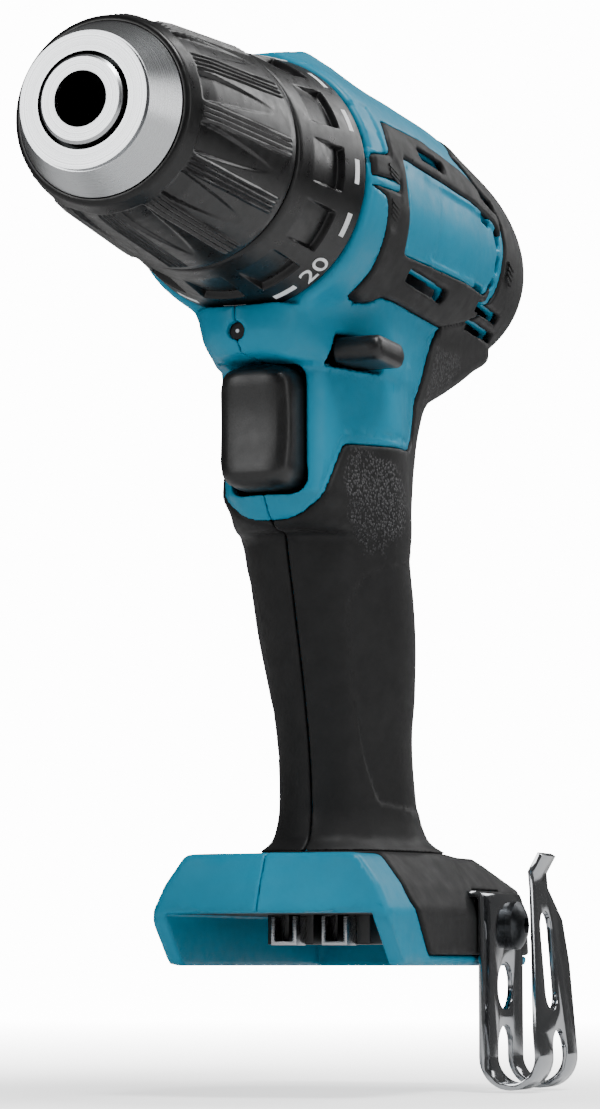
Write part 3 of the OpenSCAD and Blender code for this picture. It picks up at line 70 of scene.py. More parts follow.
mm = 0.001
print("frame loaded:", len(node), "nodes")


def added(name, data):
    obj = bpy.data.objects.new(name, data)
    bpy.context.scene.collection.objects.link(obj)
    return obj


# camera: long lens, low and to the left of the chuck
view = {
    "sensor": 36,
    "focal": 3400 / 1109,  # focal length over the frame's height
    "turn": 22.9514,       # degrees to the left of the spindle
    "tilt": 6.8785,        # degrees below the spindle
    "place": (0.5158746, 0.2599142, -0.1492612),
    "near": 0.05,          # nothing closer is drawn
}
cam = bpy.data.cameras.new("camera")
cam.sensor_width = view["sensor"]
cam.lens = view["sensor"] * view["focal"]
cam.clip_start = view["near"]
camObj = added("camera", cam)
turn, tilt = math.radians(view["turn"]), math.radians(view["tilt"])
look = Vector((-math.cos(turn) * math.cos(tilt), -math.sin(turn) * math.cos(tilt), math.sin(tilt)))
camObj.rotation_euler = look.to_track_quat("-Z", "Y").to_euler()
camObj.location = view["place"]
bpy.context.scene.camera = camObj

# the moulded parts are distance fields on a grid, in millimetres: negative inside
form = {
    "voxel": 0.4,          # grid step
    "adapt": 0.2,          # how far flat stretches are merged into larger faces
    "low": (-191, -1.5, -151.5),   # corners of the grid, which holds the left half
    "high": (-63.4, 27.6, 31.6),
    "barrelBlend": 2.2,    # soft joint between barrel and neck
    "gripBlend": 1.6,      # of the cheeks and the grip
    "footBlend": 3.0,
    "wall": 2.4,           # shell wall
    "rubberDepth": 1.1,    # recess under the rubber
    "rubberProud": 0.5,    # how far the rubber stands out
    "rubberGap": 0.12,     # line between rubber and shell
    "seam": 0.05,          # half gap between the two shells
}
farOff = 50.0              # a distance that counts as outside everywhere


def smoothMin(a, b, k):
    # the smaller of two fields, with their meeting rounded over k millimetres
    h = np.clip(0.5 + 0.5 * (b - a) / k, 0, 1)
    return b + (a - b) * h - k * h * (1 - h)


def smoothMax(a, b, k):
    return -smoothMin(-a, -b, k)


def curveAt(pts, at):
    # smooth curve through points that never overshoots them, held level past its ends
    p = np.array(sorted(pts), float)
    x, y = p[:, 0], p[:, 1:]
    h = np.diff(x)[:, None]
    s = np.diff(y, axis=0) / h
    m = np.zeros_like(y)
    m[0], m[-1] = s[0], s[-1]
    w1, w2 = 2 * h[1:] + h[:-1], h[1:] + 2 * h[:-1]
    same = s[:-1] * s[1:] > 0
    with np.errstate(divide="ignore", invalid="ignore"):
        m[1:-1] = np.where(same, (w1 + w2) / (w1 / s[:-1] + w2 / s[1:]), 0)
    t = np.clip(np.asarray(at, float), x[0], x[-1])
    i = np.clip(np.searchsorted(x, t) - 1, 0, len(x) - 2)
    u = ((t - x[i]) / h[i, 0])[:, None]
    a, b, step = y[i], y[i + 1], h[i]
    return (2 * u**3 - 3 * u**2 + 1) * a + (u**3 - 2 * u**2 + u) * step * m[i] \
        + (3 * u**2 - 2 * u**3) * b + (u**3 - u**2) * step * m[i + 1]


def capsule(along, across, x1, r1, x2, r2):
    # two circles on one line and what lies between them; x1 < x2
    h = np.maximum(x2 - x1, 0.01)
    b = np.clip((r1 - r2) / h, -0.995, 0.995)
    a = np.sqrt(1 - b * b)
    p, q = np.abs(across), along - x1
    k = -b * p + a * q
    between = np.where(k > a * h, np.hypot(p, q - h) - r2, a * p + b * q - r1)
    return np.where(k < 0, np.hypot(p, q) - r1, between)


def toEdge(u, v, a, b):
    # offsets from a straight edge, a to b, over a flat grid
    ex, ey = b[0] - a[0], b[1] - a[1]
    t = np.clip(((u - a[0]) * ex + (v - a[1]) * ey) / (ex * ex + ey * ey + 1e-12), 0, 1)
    return u - a[0] - t * ex, v - a[1] - t * ey


def outlineField(pts, u, v, soft=0):
    # distance to a closed outline on a flat grid, with its corners rounded by soft
    p = np.array(pts, float)
    best = np.full((len(u), len(v)), 1e9)
    inside = np.zeros(best.shape, bool)
    uAt, vAt = u[:, None], v[None, :]
    for a, b in zip(p, np.roll(p, -1, axis=0)):
        du, dv = toEdge(uAt, vAt, a, b)
        best = np.minimum(best, du ** 2 + dv ** 2)
        if a[1] != b[1]:
            crossed = uAt < (b[0] - a[0]) * (vAt - a[1]) / (b[1] - a[1]) + a[0]
            inside ^= ((a[1] > vAt) != (b[1] > vAt)) & crossed
    field = np.where(inside, -1, 1) * np.sqrt(best)
    if soft:
        n = max(1, int(round(soft / (u[1] - u[0]))))
        k = np.hanning(2 * n + 3)[1:-1]
        k /= k.sum()
        for _ in (0, 1):
            f = np.pad(field, [(n, n), (0, 0)], mode="edge")
            field = sum(k[i] * f[i:i + field.shape[0]] for i in range(2 * n + 1)).T
    return field


def slot(u, v, a, b, r):
    # straight slot with round ends from a to b, on a flat grid
    return np.hypot(*toEdge(u[:, None], v[None, :], a, b)) - r


def block(x, y, z, low, high):
    q = [np.maximum(l - c, c - h) for c, l, h in zip((x, y, z), low, high)]
    return np.maximum(np.maximum(q[0], q[1]), q[2])


# radius of the barrel and motor housing along the tool, and height of the ridge on top
barrelLine = [(-60, 25.2), (-72.05, 25.4), (-73.8, 26.15), (-86.25, 26.7), (-96.75, 26.9), (-107.25, 27.1),
              (-122.75, 27.1), (-139.3, 25.6), (-149.9, 24.5), (-159.85, 23.3), (-169.8, 21.3),
              (-178.4, 18.7), (-184.4, 15.4), (-187.7, 11), (-188.9, 5.4), (-189, 0)]
ridgeTop = [(-72.05, 25.9), (-86.25, 29.6), (-96.75, 29.6), (-107.25, 26.9)]
barrel = {
    "front": -72.05,
    "ridgeHalf": 5,        # half width of the ridge's flat top
    "ridgeRound": 3.0,     # its edge radius
    "rise": 1.2,           # how far the tail's axis climbs
    "riseFrom": -122.75,
    "riseRun": 66.25,
}
# height, then place and radius of the front, middle and back circles of a level cut
neckCuts = [(-8, -78.4, 12.6, -100, 20, -154, 12), (-19, -78.1, 12.3, -101, 19.2, -160, 16),
            (-23.5, -77.8, 12, -102, 18.8, -150.5, 16), (-30, -76.6, 10.4, -103.5, 18.4, -137, 15),
            (-33.95, -78.3, 8.8, -105, 18, -128, 14)]
cheekCuts = [(-31, -90.5, 12, -105, 18, -129, 14), (-44.95, -90.7, 12, -107, 17.4, -121.6, 14),
             (-58.05, -91, 12, -109.5, 16.8, -119, 14), (-62.05, -92.6, 11, -111, 16.5, -118.6, 14),
             (-65, -96.8, 12, -111, 16.3, -118.6, 14)]
neckTop = -5               # inside the barrel
# height, middle, half depth and half width of the grip
gripCuts = [(-60, -111.2, 21, 16.4), (-64.6, -111.8, 21, 16.3), (-80, -116.1, 20.7, 16),
            (-95, -119.9, 20, 14.6), (-108, -122.5, 19.6, 12.9), (-118, -123.9, 20, 13.3),
            (-124, -124.5, 21.5, 14.9), (-129, -126, 27, 19.4), (-132, -126, 28, 20.4)]
gripEnds = 0.74            # radius of the grip's front and back as a share of its half width
# height, front, bow of the front, half width and back of the foot
footCuts = [(-149.5, -76.3, 5.5, 25, -166.3), (-138.9, -76.3, 5.5, 25, -166.3),
            (-133.9, -78.1, 4, 22.6, -166.3), (-128, -80.9, 1.6, 18.2, -153.3)]
foot = {
    "bowEnds": 2.8,        # the bow runs out this far from the sides
    "corner": 8,           # radius of the back corners
    "lean": 0.92,          # keeps distances true where the sides lean
    "wedgeAt": (-80.5, -138.9),   # edge of the square wedge that is cut out of the lower front
    "wedgeAngle": 43,      # degrees that it is turned
}
# room for the torque ring in front of the shells and over the chin
ringSeat = {
    "back": -71.5,
    "front": -47.3,
    "backR": 25.0,
    "frontR": 21.2,
    "gap": 0.45,           # clearance around and behind the ring
    "chinGap": 0.65,       # and behind it, above the top of the chin
    "chinTop": -23.9,
}


def threeCircles(cuts, x, y):
    fx, fr, mx, mr, bx, br = (cuts[:, i][None, None, :] for i in range(6))
    return np.minimum(capsule(x, y, bx, br, mx, mr), capsule(x, y, mx, mr, fx, fr))


def barrelField(x, y, z):
    # round, with a low ridge on top, and an axis that climbs a little towards the tail
    line = np.array(barrelLine)
    run = np.concatenate([[0], np.cumsum(np.hypot(*np.diff(line, axis=0).T))])
    fine = curveAt([(s, *p) for s, p in zip(run, line)], np.linspace(0, run[-1], 220))
    # distances to the profile, closed past the axis, by place and radius
    radii = np.arange(0, 45, 0.1)
    byRadius = outlineField([tuple(p) for p in fine] + [(-189, -6), (-60, -6)], x, radii)
    baseR = np.interp(x, fine[::-1, 0], fine[::-1, 1])
    top = np.interp(x, *np.array(ridgeTop[::-1]).T)
    rise = barrel["rise"] * np.clip((barrel["riseFrom"] - x) / barrel["riseRun"], 0, 1) ** 2
    half, soft = barrel["ridgeHalf"], barrel["ridgeRound"]
    field = np.empty((len(x), len(y), len(z)), np.float32)
    for i in range(len(x)):
        out, up = np.abs(y)[:, None], z[None, :] - rise[i]
        d = np.interp(np.hypot(out, up).ravel(), radii, byRadius[i]).reshape(len(y), len(z))
        if x[i] > ridgeTop[-1][0]:
            edgeZ = top[i] - soft
            far = math.hypot(half, edgeZ)
            u, w = half / far, edgeZ / far
            flank = capsule(out * u + up * w, out * w - up * u, 0, baseR[i] - 0.1, far, soft)
            crown = np.hypot(np.maximum(out - half, 0), up - edgeZ) - soft
            d = smoothMin(d, np.minimum(flank, crown), 0.5)
        field[i] = d
    return smoothMax(field, x[:, None, None] - barrel["front"], 1.0)


def gripField(x, y, z):
    middle, depth, half = curveAt(gripCuts, z).T
    end = gripEnds * half
    cuts = np.stack([middle + depth - end, end, middle, half, middle - depth + end, end], 1)
    field = threeCircles(cuts, x[:, None, None], y[None, :, None])
    return np.maximum(np.maximum(field, z - gripCuts[0][0]), gripCuts[-1][0] - z)


def footField(x, y, z):
    cuts = np.array(footCuts).T
    front, bow, half, back = (np.interp(z, cuts[0], cuts[i])[None, None, :] for i in (1, 2, 3, 4))
    along, out = x[:, None, None], np.abs(y[None, :, None])
    slope = bow / (half - foot["bowEnds"])
    corner = foot["corner"]
    field = smoothMax((along - front + slope * out) / np.sqrt(1 + slope**2), (out - half) * foot["lean"], 1.6)
    rounded = np.hypot(np.maximum(back + corner - along, 0), np.maximum(out - half + corner, 0)) - corner
    field = smoothMax(field, rounded * foot["lean"], 0.8)
    field = smoothMax(smoothMax(field, z - footCuts[-1][0], 1.2), footCuts[0][0] - z, 1.2)
    u, w = math.cos(math.radians(foot["wedgeAngle"])), math.sin(math.radians(foot["wedgeAngle"]))
    px, pz = along - foot["wedgeAt"][0], z - foot["wedgeAt"][1]
    return smoothMax(field, np.minimum(px * u - pz * w, -px * w - pz * u), 0.8)


def ringRoom(x, y, z):
    back, front = ringSeat["back"], ringSeat["front"]
    coneR = ringSeat["backR"] + (x - back) * (ringSeat["frontR"] - ringSeat["backR"]) / (front - back)
    cone = np.hypot(y, z) - (coneR + ringSeat["gap"])
    ahead = np.maximum(back - ringSeat["chinGap"] - x, ringSeat["chinTop"] - z)
    return np.minimum(np.maximum(cone, back - ringSeat["gap"] - x), ahead)


def bodyField(x, y, z):
    xAt, yAt, zAt = x[:, None, None], y[None, :, None], z[None, None, :]
    neck = threeCircles(curveAt(neckCuts, z), xAt, yAt)
    neck = np.maximum(smoothMax(neck, neckCuts[-1][0] - zAt, 1.2), zAt - neckTop)
    cheeks = threeCircles(curveAt(cheekCuts, z), xAt, yAt)
    cheeks = smoothMax(np.maximum(cheeks, zAt - cheekCuts[0][0]), cheekCuts[-1][0] - zAt, 2.4)
    field = smoothMin(barrelField(x, y, z), neck, form["barrelBlend"])
    field = smoothMin(field, cheeks, form["gripBlend"])
    field = smoothMin(field, gripField(x, y, z), form["gripBlend"])
    field = smoothMin(field, footField(x, y, z), form["footBlend"])
    return smoothMax(field, -ringRoom(xAt, yAt, zAt), 0.6).astype(np.float32)


voxel = form["voxel"]
gx, gy, gz = (np.arange(low, high, voxel) for low, high in zip(form["low"], form["high"]))
xAt, yAt, zAt = gx[:, None, None], gy[None, :, None], gz[None, None, :]
skin = bodyField(gx, gy, gz)
print("body field:", skin.shape)

# side outlines of the rubber, along the tool and up
gripLine = [(-92.6, -48.3), (-90.4, -48.6), (-86, -57.2), (-84.2, -62.2), (-84, -64.6), (-60, -64.6),
            (-60, -127.2), (-180, -127.2), (-180, -22), (-127, -20), (-123.6, -26.5), (-120.6, -43.8),
            (-117, -46.4), (-112, -47)]
footLine = [(-95.3, -127), (-95.3, -136.9), (-103.3, -147.5), (-190, -147.5), (-190, -127)]
tailLine = [(-137, 40), (-200, 40), (-200, -40), (-126, -40), (-126.5, -19.5), (-143, -15.5), (-149, -9),
            (-150.5, 2), (-148, 7.4), (-121.75, 14.5), (-126.5, 17), (-135, 23)]
frameLine = [(-82.4, 12.8), (-103, 13.7), (-114.9, 12.8), (-124.8, 11.8), (-148, 7.4), (-143, -15.5),
             (-126.5, -19.7), (-94, -19.4), (-91.1, -21), (-86.9, -21.6), (-82.6, -20.8), (-83.2, -16.2),
             (-81.8, -10.8), (-80.2, -5.4), (-78.6, -3), (-72.8, -2.2), (-72.6, 4.2), (-80.6, 5.6),
             (-80.9, 8.6)]
labelLine = [(-86.6, 6.4), (-143.4, 5), (-147.6, 1.6), (-147.2, -5.6), (-142, -10.6), (-92, -11.6)]
barLine = [(-70, -2), (-84.8, -1), (-84.8, 0.9), (-70, -0.4)]


def flat(field):
    return field[:, None, :]


def rubberZone(inset):
    zone = np.full((len(gx), len(gz)), farOff)
    for line, soft in ((gripLine, 1.5), (footLine, 2), (tailLine, 2), (frameLine, 0.8)):
        zone = np.minimum(zone, outlineField(line, gx, gz, soft))
    for line, soft in ((labelLine, 2), (barLine, 0.5)):
        zone = np.maximum(zone, -outlineField(line, gx, gz, soft))
    return flat(zone + inset)


openings = {               # blocks are given by their lowest and highest corners
    "bay": ((-159.3, -21.5, -200), (0, 21.5, -139.5)),
    "chamber": ((-157.3, -20, -137.7), (-88.3, 20, -130.6)),
    "chamberFront": 4,     # its front leans in this far over its height
    "chamberSides": 5,     # and its back and sides
    "tray": ((-123.6, -11.3, -200), (-107, 11.3, -130.7)),
    "tongue": ((-148.2, 20.6, -136.3), (-132.4, 50, -134.2)),
    "caseGap": 0.15,       # around the gear case
    "caseFrom": -76,       # the seat starts here
    "trigger": (8, 12.85, 3.6),   # half width, half height and corner of the trigger's window
    "triggerZ": -46.35,
    "triggerBack": -92.6,
    "lever": (7.75, 3.05, 1.2),   # half length, half height and corner of the direction lever's slot
    "leverAt": (-91.45, -30.75),
    "light": (-29.3, 1.72, -75),  # height, radius and back
    "speedGap": 0.5,       # ahead of and beside the speed lever
    "speedBack": 6.9,      # room for its slide
    "speedFloor": 15,
    "hookAt": (-145.8, -141.3),
    "hookHole": (2.6, 20),        # radius, and where it starts
    "hookNut": (4.3, 1.65),       # radius and half thickness
}
vents = [((-98.2, 9.6), (-110, 9.3), 1.25), ((-134.5, 9.6), (-144.5, 8.6), 1.2),
         ((-99, -14.4), (-118, -15), 1.35), ((-140.5, -12.9), (-158, -12.6), 1.1),
         ((-141.5, -16.4), (-163, -15.6), 1.1)]
sideFrom = 12              # vents and the label's bed are cut only this far out


def insideField():
    # hollow of the shells: walls, gear case seat, battery bay, terminal chamber and tray
    (chamberLow, chamberHigh), side = openings["chamber"], openings["chamberSides"]
    back, floor, front = chamberLow[0], chamberLow[2], chamberHigh[0]
    hollow = smoothMax(skin + form["wall"], floor - zAt, 0.5)
    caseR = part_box("gear_case")[1][1] / mm + openings["caseGap"]
    hollow = np.minimum(hollow, np.maximum(np.hypot(yAt, zAt) - caseR, openings["caseFrom"] - xAt))
    lean = np.clip((zAt - floor) / (chamberHigh[2] - floor), 0, 1)
    ends = np.maximum(xAt - front + openings["chamberFront"] * lean, back + side * lean - xAt)
    chamber = np.maximum(ends, yAt - chamberHigh[1] + side * lean)
    chamber = np.maximum(chamber, block(xAt, yAt, zAt, chamberLow, chamberHigh))
    hollow = np.minimum(hollow, block(xAt, yAt, zAt, *openings["bay"]))
    return np.minimum(hollow, np.minimum(chamber, block(xAt, yAt, zAt, *openings["tray"])))


def openingField():
    # everything cut through the shell
    half, tall, corner = openings["trigger"]
    window = smoothMax(np.abs(yAt) - half, np.abs(zAt - openings["triggerZ"]) - tall, corner)
    window = np.maximum(window, openings["triggerBack"] - xAt)
    half, tall, corner = openings["lever"]
    leverX, leverZ = openings["leverAt"]
    leverSlot = smoothMax(np.abs(xAt - leverX) - half, np.abs(zAt - leverZ) - tall, corner)
    lightZ, lightR, lightBack = openings["light"]
    light = np.maximum(np.hypot(yAt, zAt - lightZ) - lightR, lightBack - xAt)
    low, high = (np.array(c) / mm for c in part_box("speed_lever"))
    gap = openings["speedGap"]
    speed = block(xAt, yAt, zAt, (low[0] - openings["speedBack"], -50, openings["speedFloor"]),
                  (high[0] + gap, high[1] + gap, 50))
    air = np.full((len(gx), len(gz)), farOff)
    for a, b, r in vents:
        air = np.minimum(air, slot(gx, gz, a, b, r))
    air = np.maximum(flat(air), sideFrom - yAt)
    (holeR, holeFrom), (nutR, nutHalf) = openings["hookHole"], openings["hookNut"]
    fromHook = np.hypot(xAt - openings["hookAt"][0], zAt - openings["hookAt"][1])
    hookHole = np.maximum(fromHook - holeR, holeFrom - yAt)
    nutRoom = np.maximum(fromHook - nutR, np.abs(yAt - holeFrom) - nutHalf)
    tongue = block(xAt, yAt, zAt, *openings["tongue"])
    field = insideField()
    for c in (window, leverSlot, light, speed, air, hookHole, nutRoom, tongue):
        field = np.minimum(field, c)
    return field


# place along and up of each housing screw, and how far its head lies from the middle
posts = [(-79, -27.05, 8.9), (-126, -36, 10), (-118, -77, 11.9), (-123, -103, 9.9), (-96.8, -133.7, 19),
         (-153.3, -133.7, 18), (-126.05, 22.2, 8.5), (-177, 6, 9.5), (-146, -24.8, 9.5)]
headHole = {"radius": 2.75, "draft": 0.13, "seat": 2}   # draft is how much it widens for each millimetre


def headHoles():
    # drafted holes over the screws of the right shell
    holes = np.full(skin.shape, farOff, np.float32)
    for px, pz, depth in posts:
        r = headHole["radius"] + headHole["draft"] * np.maximum(yAt - depth, 0)
        hole = np.maximum(np.hypot(xAt - px, zAt - pz) - r, depth - headHole["seat"] - yAt)
        holes = np.minimum(holes, hole)
    return holes


def outward(mesh, merge=0):
    # points the faces outwards, after merging doubles closer than merge
    bm = bmesh.new()
    bm.from_mesh(mesh)
    if merge:
        bmesh.ops.remove_doubles(bm, verts=bm.verts, dist=merge)
    bmesh.ops.recalc_face_normals(bm, faces=bm.faces)
    bm.to_mesh(mesh)
    bm.free()


def slopeAt(field, points):
    # direction in which the field grows at points given in grid steps
    slopes = np.gradient(field)
    i = np.clip(points, 0, np.array(field.shape) - 1.001)
    lo = i.astype(int)
    f = i - lo
    n = np.zeros(points.shape)
    for axis, g in enumerate(slopes):
        for corner in np.ndindex(2, 2, 2):
            share = np.prod(np.where(corner, f, 1 - f), axis=1)
            n[:, axis] += share * g[tuple((lo + corner).T)]
    return n


def meshed(name, field, origin, step, mirrored=False, masks=None):
    # surface of a field as a closed mesh in metres, with the field's own smooth normals
    band = 3.0             # distances past this are cut off
    grid = openvdb.FloatGrid(background=band)
    grid.copyFromArray(np.clip(field, -band, band).astype(np.float32))
    points, tris, quads = grid.convertToPolygons(isovalue=0.0, adaptivity=form["adapt"])
    p = points * step + origin
    n = slopeAt(np.clip(field, -band, band), points)
    if mirrored:
        p[:, 1] *= -1
        n[:, 1] *= -1
    mesh = bpy.data.meshes.new(name)
    mesh.from_pydata((p * mm).tolist(), [], [tuple(q) for q in quads] + [tuple(t) for t in tris])
    mesh.validate()
    outward(mesh)
    mesh.shade_smooth()
    n /= np.linalg.norm(n, axis=1)[:, None] + 1e-9
    mesh.normals_split_custom_set_from_vertices(n.tolist())
    for label, fn in (masks or {}).items():
        a = mesh.attributes.new(label, "FLOAT", "POINT")
        a.data.foreach_set("value", fn(p).astype(np.float32))
    return added(name, mesh)


def linear(code):
    # sRGB hex to linear colour
    c = np.array([int(code[i:i + 2], 16) for i in (1, 3, 5)]) / 255
    return (*np.where(c <= 0.04045, c / 12.92, ((c + 0.055) / 1.055) ** 2.4).tolist(), 1)


def put(tree, kind, links=None, **settings):
    # adds a node: settings are its properties, links its inputs as sockets or values
    n = tree.nodes.new(kind)
    for key, value in settings.items():
        setattr(n, key, value)
    for key, value in (links or {}).items():
        if isinstance(value, bpy.types.NodeSocket):
            tree.links.new(value, n.inputs[key])
        else:
            n.inputs[key].default_value = value
    return n


def material(name, color, rough, **fixed):
    mat = bpy.data.materials.new(name)
    mat.use_nodes = True
    tree = mat.node_tree
    shader = tree.nodes["Principled BSDF"]
    shader.inputs["Base Color"].default_value = linear(color)
    shader.inputs["Roughness"].default_value = rough
    for key, value in fixed.items():
        shader.inputs[key].default_value = value
    place = put(tree, "ShaderNodeTexCoord").outputs["Object"]
    return mat, tree, shader, place


def tint(tree, shader, place, size, shades):
    # soft patches that wander between two shades, size in millimetres
    noise = put(tree, "ShaderNodeTexNoise", {"Vector": place, "Scale": 1 / (size * mm), "Detail": 3})
    ramp = put(tree, "ShaderNodeValToRGB", {"Fac": noise.outputs["Fac"]})
    for stop, position, shade in zip(ramp.color_ramp.elements, (0.32, 0.7), shades):
        stop.position, stop.color = position, linear(shade)
    tree.links.new(ramp.outputs["Color"], shader.inputs["Base Color"])
    return ramp.outputs["Color"]


def twoShades(tree, shader, amount, first, second):
    # first colour where amount is 0, second where it is 1
    ramp = put(tree, "ShaderNodeValToRGB", {"Fac": amount})
    for stop, shade in zip(ramp.color_ramp.elements, (first, second)):
        stop.color = linear(shade)
    tree.links.new(ramp.outputs["Color"], shader.inputs["Base Color"])


def sheen(tree, shader, place, size, low, high):
    # roughness that wanders between low and high
    noise = put(tree, "ShaderNodeTexNoise", {"Vector": place, "Scale": 1 / (size * mm), "Detail": 4})
    spread = put(tree, "ShaderNodeMapRange", {"Value": noise.outputs["Fac"], "From Min": 0.3, "From Max": 0.7,
                                              "To Min": low, "To Max": high})
    tree.links.new(spread.outputs["Result"], shader.inputs["Roughness"])


def grain(tree, shader, place, size, depth, stretch=(1, 1, 1), after=None):
    # fine bumps, size and depth in millimetres; after is a bump that they lie on
    at = put(tree, "ShaderNodeMapping", {"Vector": place, "Scale": stretch}).outputs[0]
    noise = put(tree, "ShaderNodeTexNoise", {"Vector": at, "Scale": 1 / (size * mm), "Detail": 2})
    links = {"Height": noise.outputs["Fac"], "Strength": 1.0, "Distance": depth * mm}
    if after is not None:
        links["Normal"] = after
    bump = put(tree, "ShaderNodeBump", links)
    tree.links.new(bump.outputs[0], shader.inputs["Normal"])


def turned(tree, shader, place, pitch, depth, low, high):
    # rings left by the lathe around the tool's long axis; gives back how far out and along a point is
    part = put(tree, "ShaderNodeSeparateXYZ", {0: place})
    along, side, up = part.outputs
    squared = put(tree, "ShaderNodeMath", {0: side, 1: side}, operation="MULTIPLY")
    total = put(tree, "ShaderNodeMath", {0: up, 1: up, 2: squared.outputs[0]}, operation="MULTIPLY_ADD")
    far = put(tree, "ShaderNodeMath", {0: total.outputs[0]}, operation="SQRT")
    slant = put(tree, "ShaderNodeMath", {0: along, 1: far.outputs[0]}, operation="SUBTRACT")
    scaled = put(tree, "ShaderNodeMath", {0: slant.outputs[0], 1: 1 / (pitch * mm)}, operation="MULTIPLY")
    fine = {"W": scaled.outputs[0], "Scale": 1.0, "Detail": 5, "Roughness": 0.7}
    noise = put(tree, "ShaderNodeTexNoise", fine, noise_dimensions="1D")
    spread = put(tree, "ShaderNodeMapRange", {"Value": noise.outputs["Fac"], "From Min": 0.3, "From Max": 0.7,
                                              "To Min": low, "To Max": high})
    tree.links.new(spread.outputs["Result"], shader.inputs["Roughness"])
    rings = {"Height": noise.outputs["Fac"], "Strength": 1.0, "Distance": depth * mm}
    bump = put(tree, "ShaderNodeBump", rings)
    tree.links.new(bump.outputs[0], shader.inputs["Normal"])
    swirl = put(tree, "ShaderNodeTangent", direction_type="RADIAL", axis="X")
    tree.links.new(swirl.outputs[0], shader.inputs["Tangent"])
    return far.outputs[0], along


mats = {}

# glass-filled nylon from a spark-textured mould: even satin with a fine grain, a little lighter in patches
mats["teal_shell"], t, s, at = material("tealNylon", "#0080a0", 0.42, **{"Specular IOR Level": 0.3})
tint(t, s, at, 26, ("#007a99", "#0086a7"))
sheen(t, s, at, 3, 0.36, 0.5)
grain(t, s, at, 0.45, 0.02)  # real grain is about 0.1 mm, drawn coarser so that it shows

# thermoplastic elastomer overmould: dark, dry, soft sheen; stippled where the palm and fingers lie
rubberLook = {"Sheen Weight": 0.02, "Specular IOR Level": 0.32}
mats["grip_rubber"], t, s, at = material("overmouldRubber", "#0a0a0b", 0.55, **rubberLook)
dark = tint(t, s, at, 18, ("#09090a", "#0d0d0e"))
sheen(t, s, at, 4, 0.52, 0.66)
# the stipple: dots about 0.6 mm apart with a painted highlight that makes their tips paler, drawn taller than
# real so that they show
cells = put(t, "ShaderNodeTexVoronoi", {"Vector": at, "Scale": 1 / (0.62 * mm), "Randomness": 1.0})
mask = put(t, "ShaderNodeAttribute", attribute_name="stipple")
dots = put(t, "ShaderNodeMapRange", {"Value": cells.outputs["Distance"], "From Min": 0.15, "From Max": 0.55,
                                     "To Min": 1.0, "To Max": 0.0})
raised = put(t, "ShaderNodeMath", {0: dots.outputs["Result"], 1: mask.outputs["Fac"]}, operation="MULTIPLY")
# painted highlight: the dots' tips are mixed towards a pale grey
tipHighlight = put(t, "ShaderNodeMix", {0: raised.outputs[0], 6: dark, 7: linear("#4a4a4c")}, data_type="RGBA")
t.links.new(tipHighlight.outputs[2], s.inputs["Base Color"])
knobs = put(t, "ShaderNodeBump", {"Height": raised.outputs[0], "Strength": 1.0, "Distance": 0.3 * mm})
grain(t, s, at, 0.5, 0.02, after=knobs.outputs[0])

# black nylon, satin from the mould, with a faint wander in its gloss
mats["black_plastic"], t, s, at = material("blackNylon", "#121314", 0.36)
tint(t, s, at, 12, ("#0b0b0c", "#0f1011"))
sheen(t, s, at, 2.5, 0.37, 0.43)
grain(t, s, at, 0.4, 0.012)

# black nylon of the inner mouldings, dull from a sanded mould
mats["inner_plastic"], t, s, at = material("mattNylon", "#212225", 0.6)
tint(t, s, at, 9, ("#1d1e20", "#27282b"))
grain(t, s, at, 0.5, 0.02)

# turned steel, satin: the lathe's fine rings stretch its highlights
mats["bright_steel"], t, s, at = material("turnedSteel", "#c4c6c8", 0.28, Metallic=1.0, Anisotropic=0.45)
far, alongX = turned(t, s, at, 0.22, 0.006, 0.2, 0.36)
# the groove around the mouth is painted near black as shade
deep = put(t, "ShaderNodeMath", {0: alongX, 1: -1.35 * mm}, operation="LESS_THAN").outputs[0]
close = put(t, "ShaderNodeMath", {0: far, 1: 9.0 * mm}, operation="LESS_THAN").outputs[0]
groove = put(t, "ShaderNodeMath", {0: deep, 1: close}, operation="MULTIPLY").outputs[0]
twoShades(t, s, groove, "#b9bbbd", "#161718")

# hardened steel, ground: darker and duller than the turned steel
mats["tool_steel"], t, s, at = material("hardenedSteel", "#85878a", 0.42, Metallic=1.0)
tint(t, s, at, 5, ("#76787b", "#93959a"))
turned(t, s, at, 0.3, 0.008, 0.32, 0.5)

# black zinc plate on steel screws: dark with a soft gleam
mats["fastener_steel"], t, s, at = material("blackZincSteel", "#45474a", 0.4, Metallic=1.0)
tint(t, s, at, 2, ("#3a3c3e", "#515356"))
sheen(t, s, at, 1, 0.32, 0.5)

# nickel-chrome plate on a rolled strip: mirror with faint waves along the strip
mats["hook_chrome"], t, s, at = material("chromePlate", "#aeb0b3", 0.1, Metallic=1.0)
sheen(t, s, at, 6, 0.07, 0.16)
grain(t, s, at, 7, 0.05, stretch=(1, 1, 0.4))

# aluminium as it leaves the die: dull and slightly mottled
mats["die_cast"], t, s, at = material("dieCastAluminium", "#9b9da0", 0.5, Metallic=1.0)
tint(t, s, at, 3, ("#8d8f92", "#a9abae"))
grain(t, s, at, 0.8, 0.05)

# machined brass, warm and bright
mats["brass"], t, s, at = material("cutBrass", "#c9a454", 0.3, Metallic=1.0)
turned(t, s, at, 0.2, 0.006, 0.22, 0.38)

# sintered magnet, pressed from powder: fine and dull
mats["magnet"], t, s, at = material("sinteredMagnet", "#4b4d52", 0.55, Metallic=0.4)
tint(t, s, at, 1.2, ("#43454a", "#56585d"))
grain(t, s, at, 0.3, 0.03)

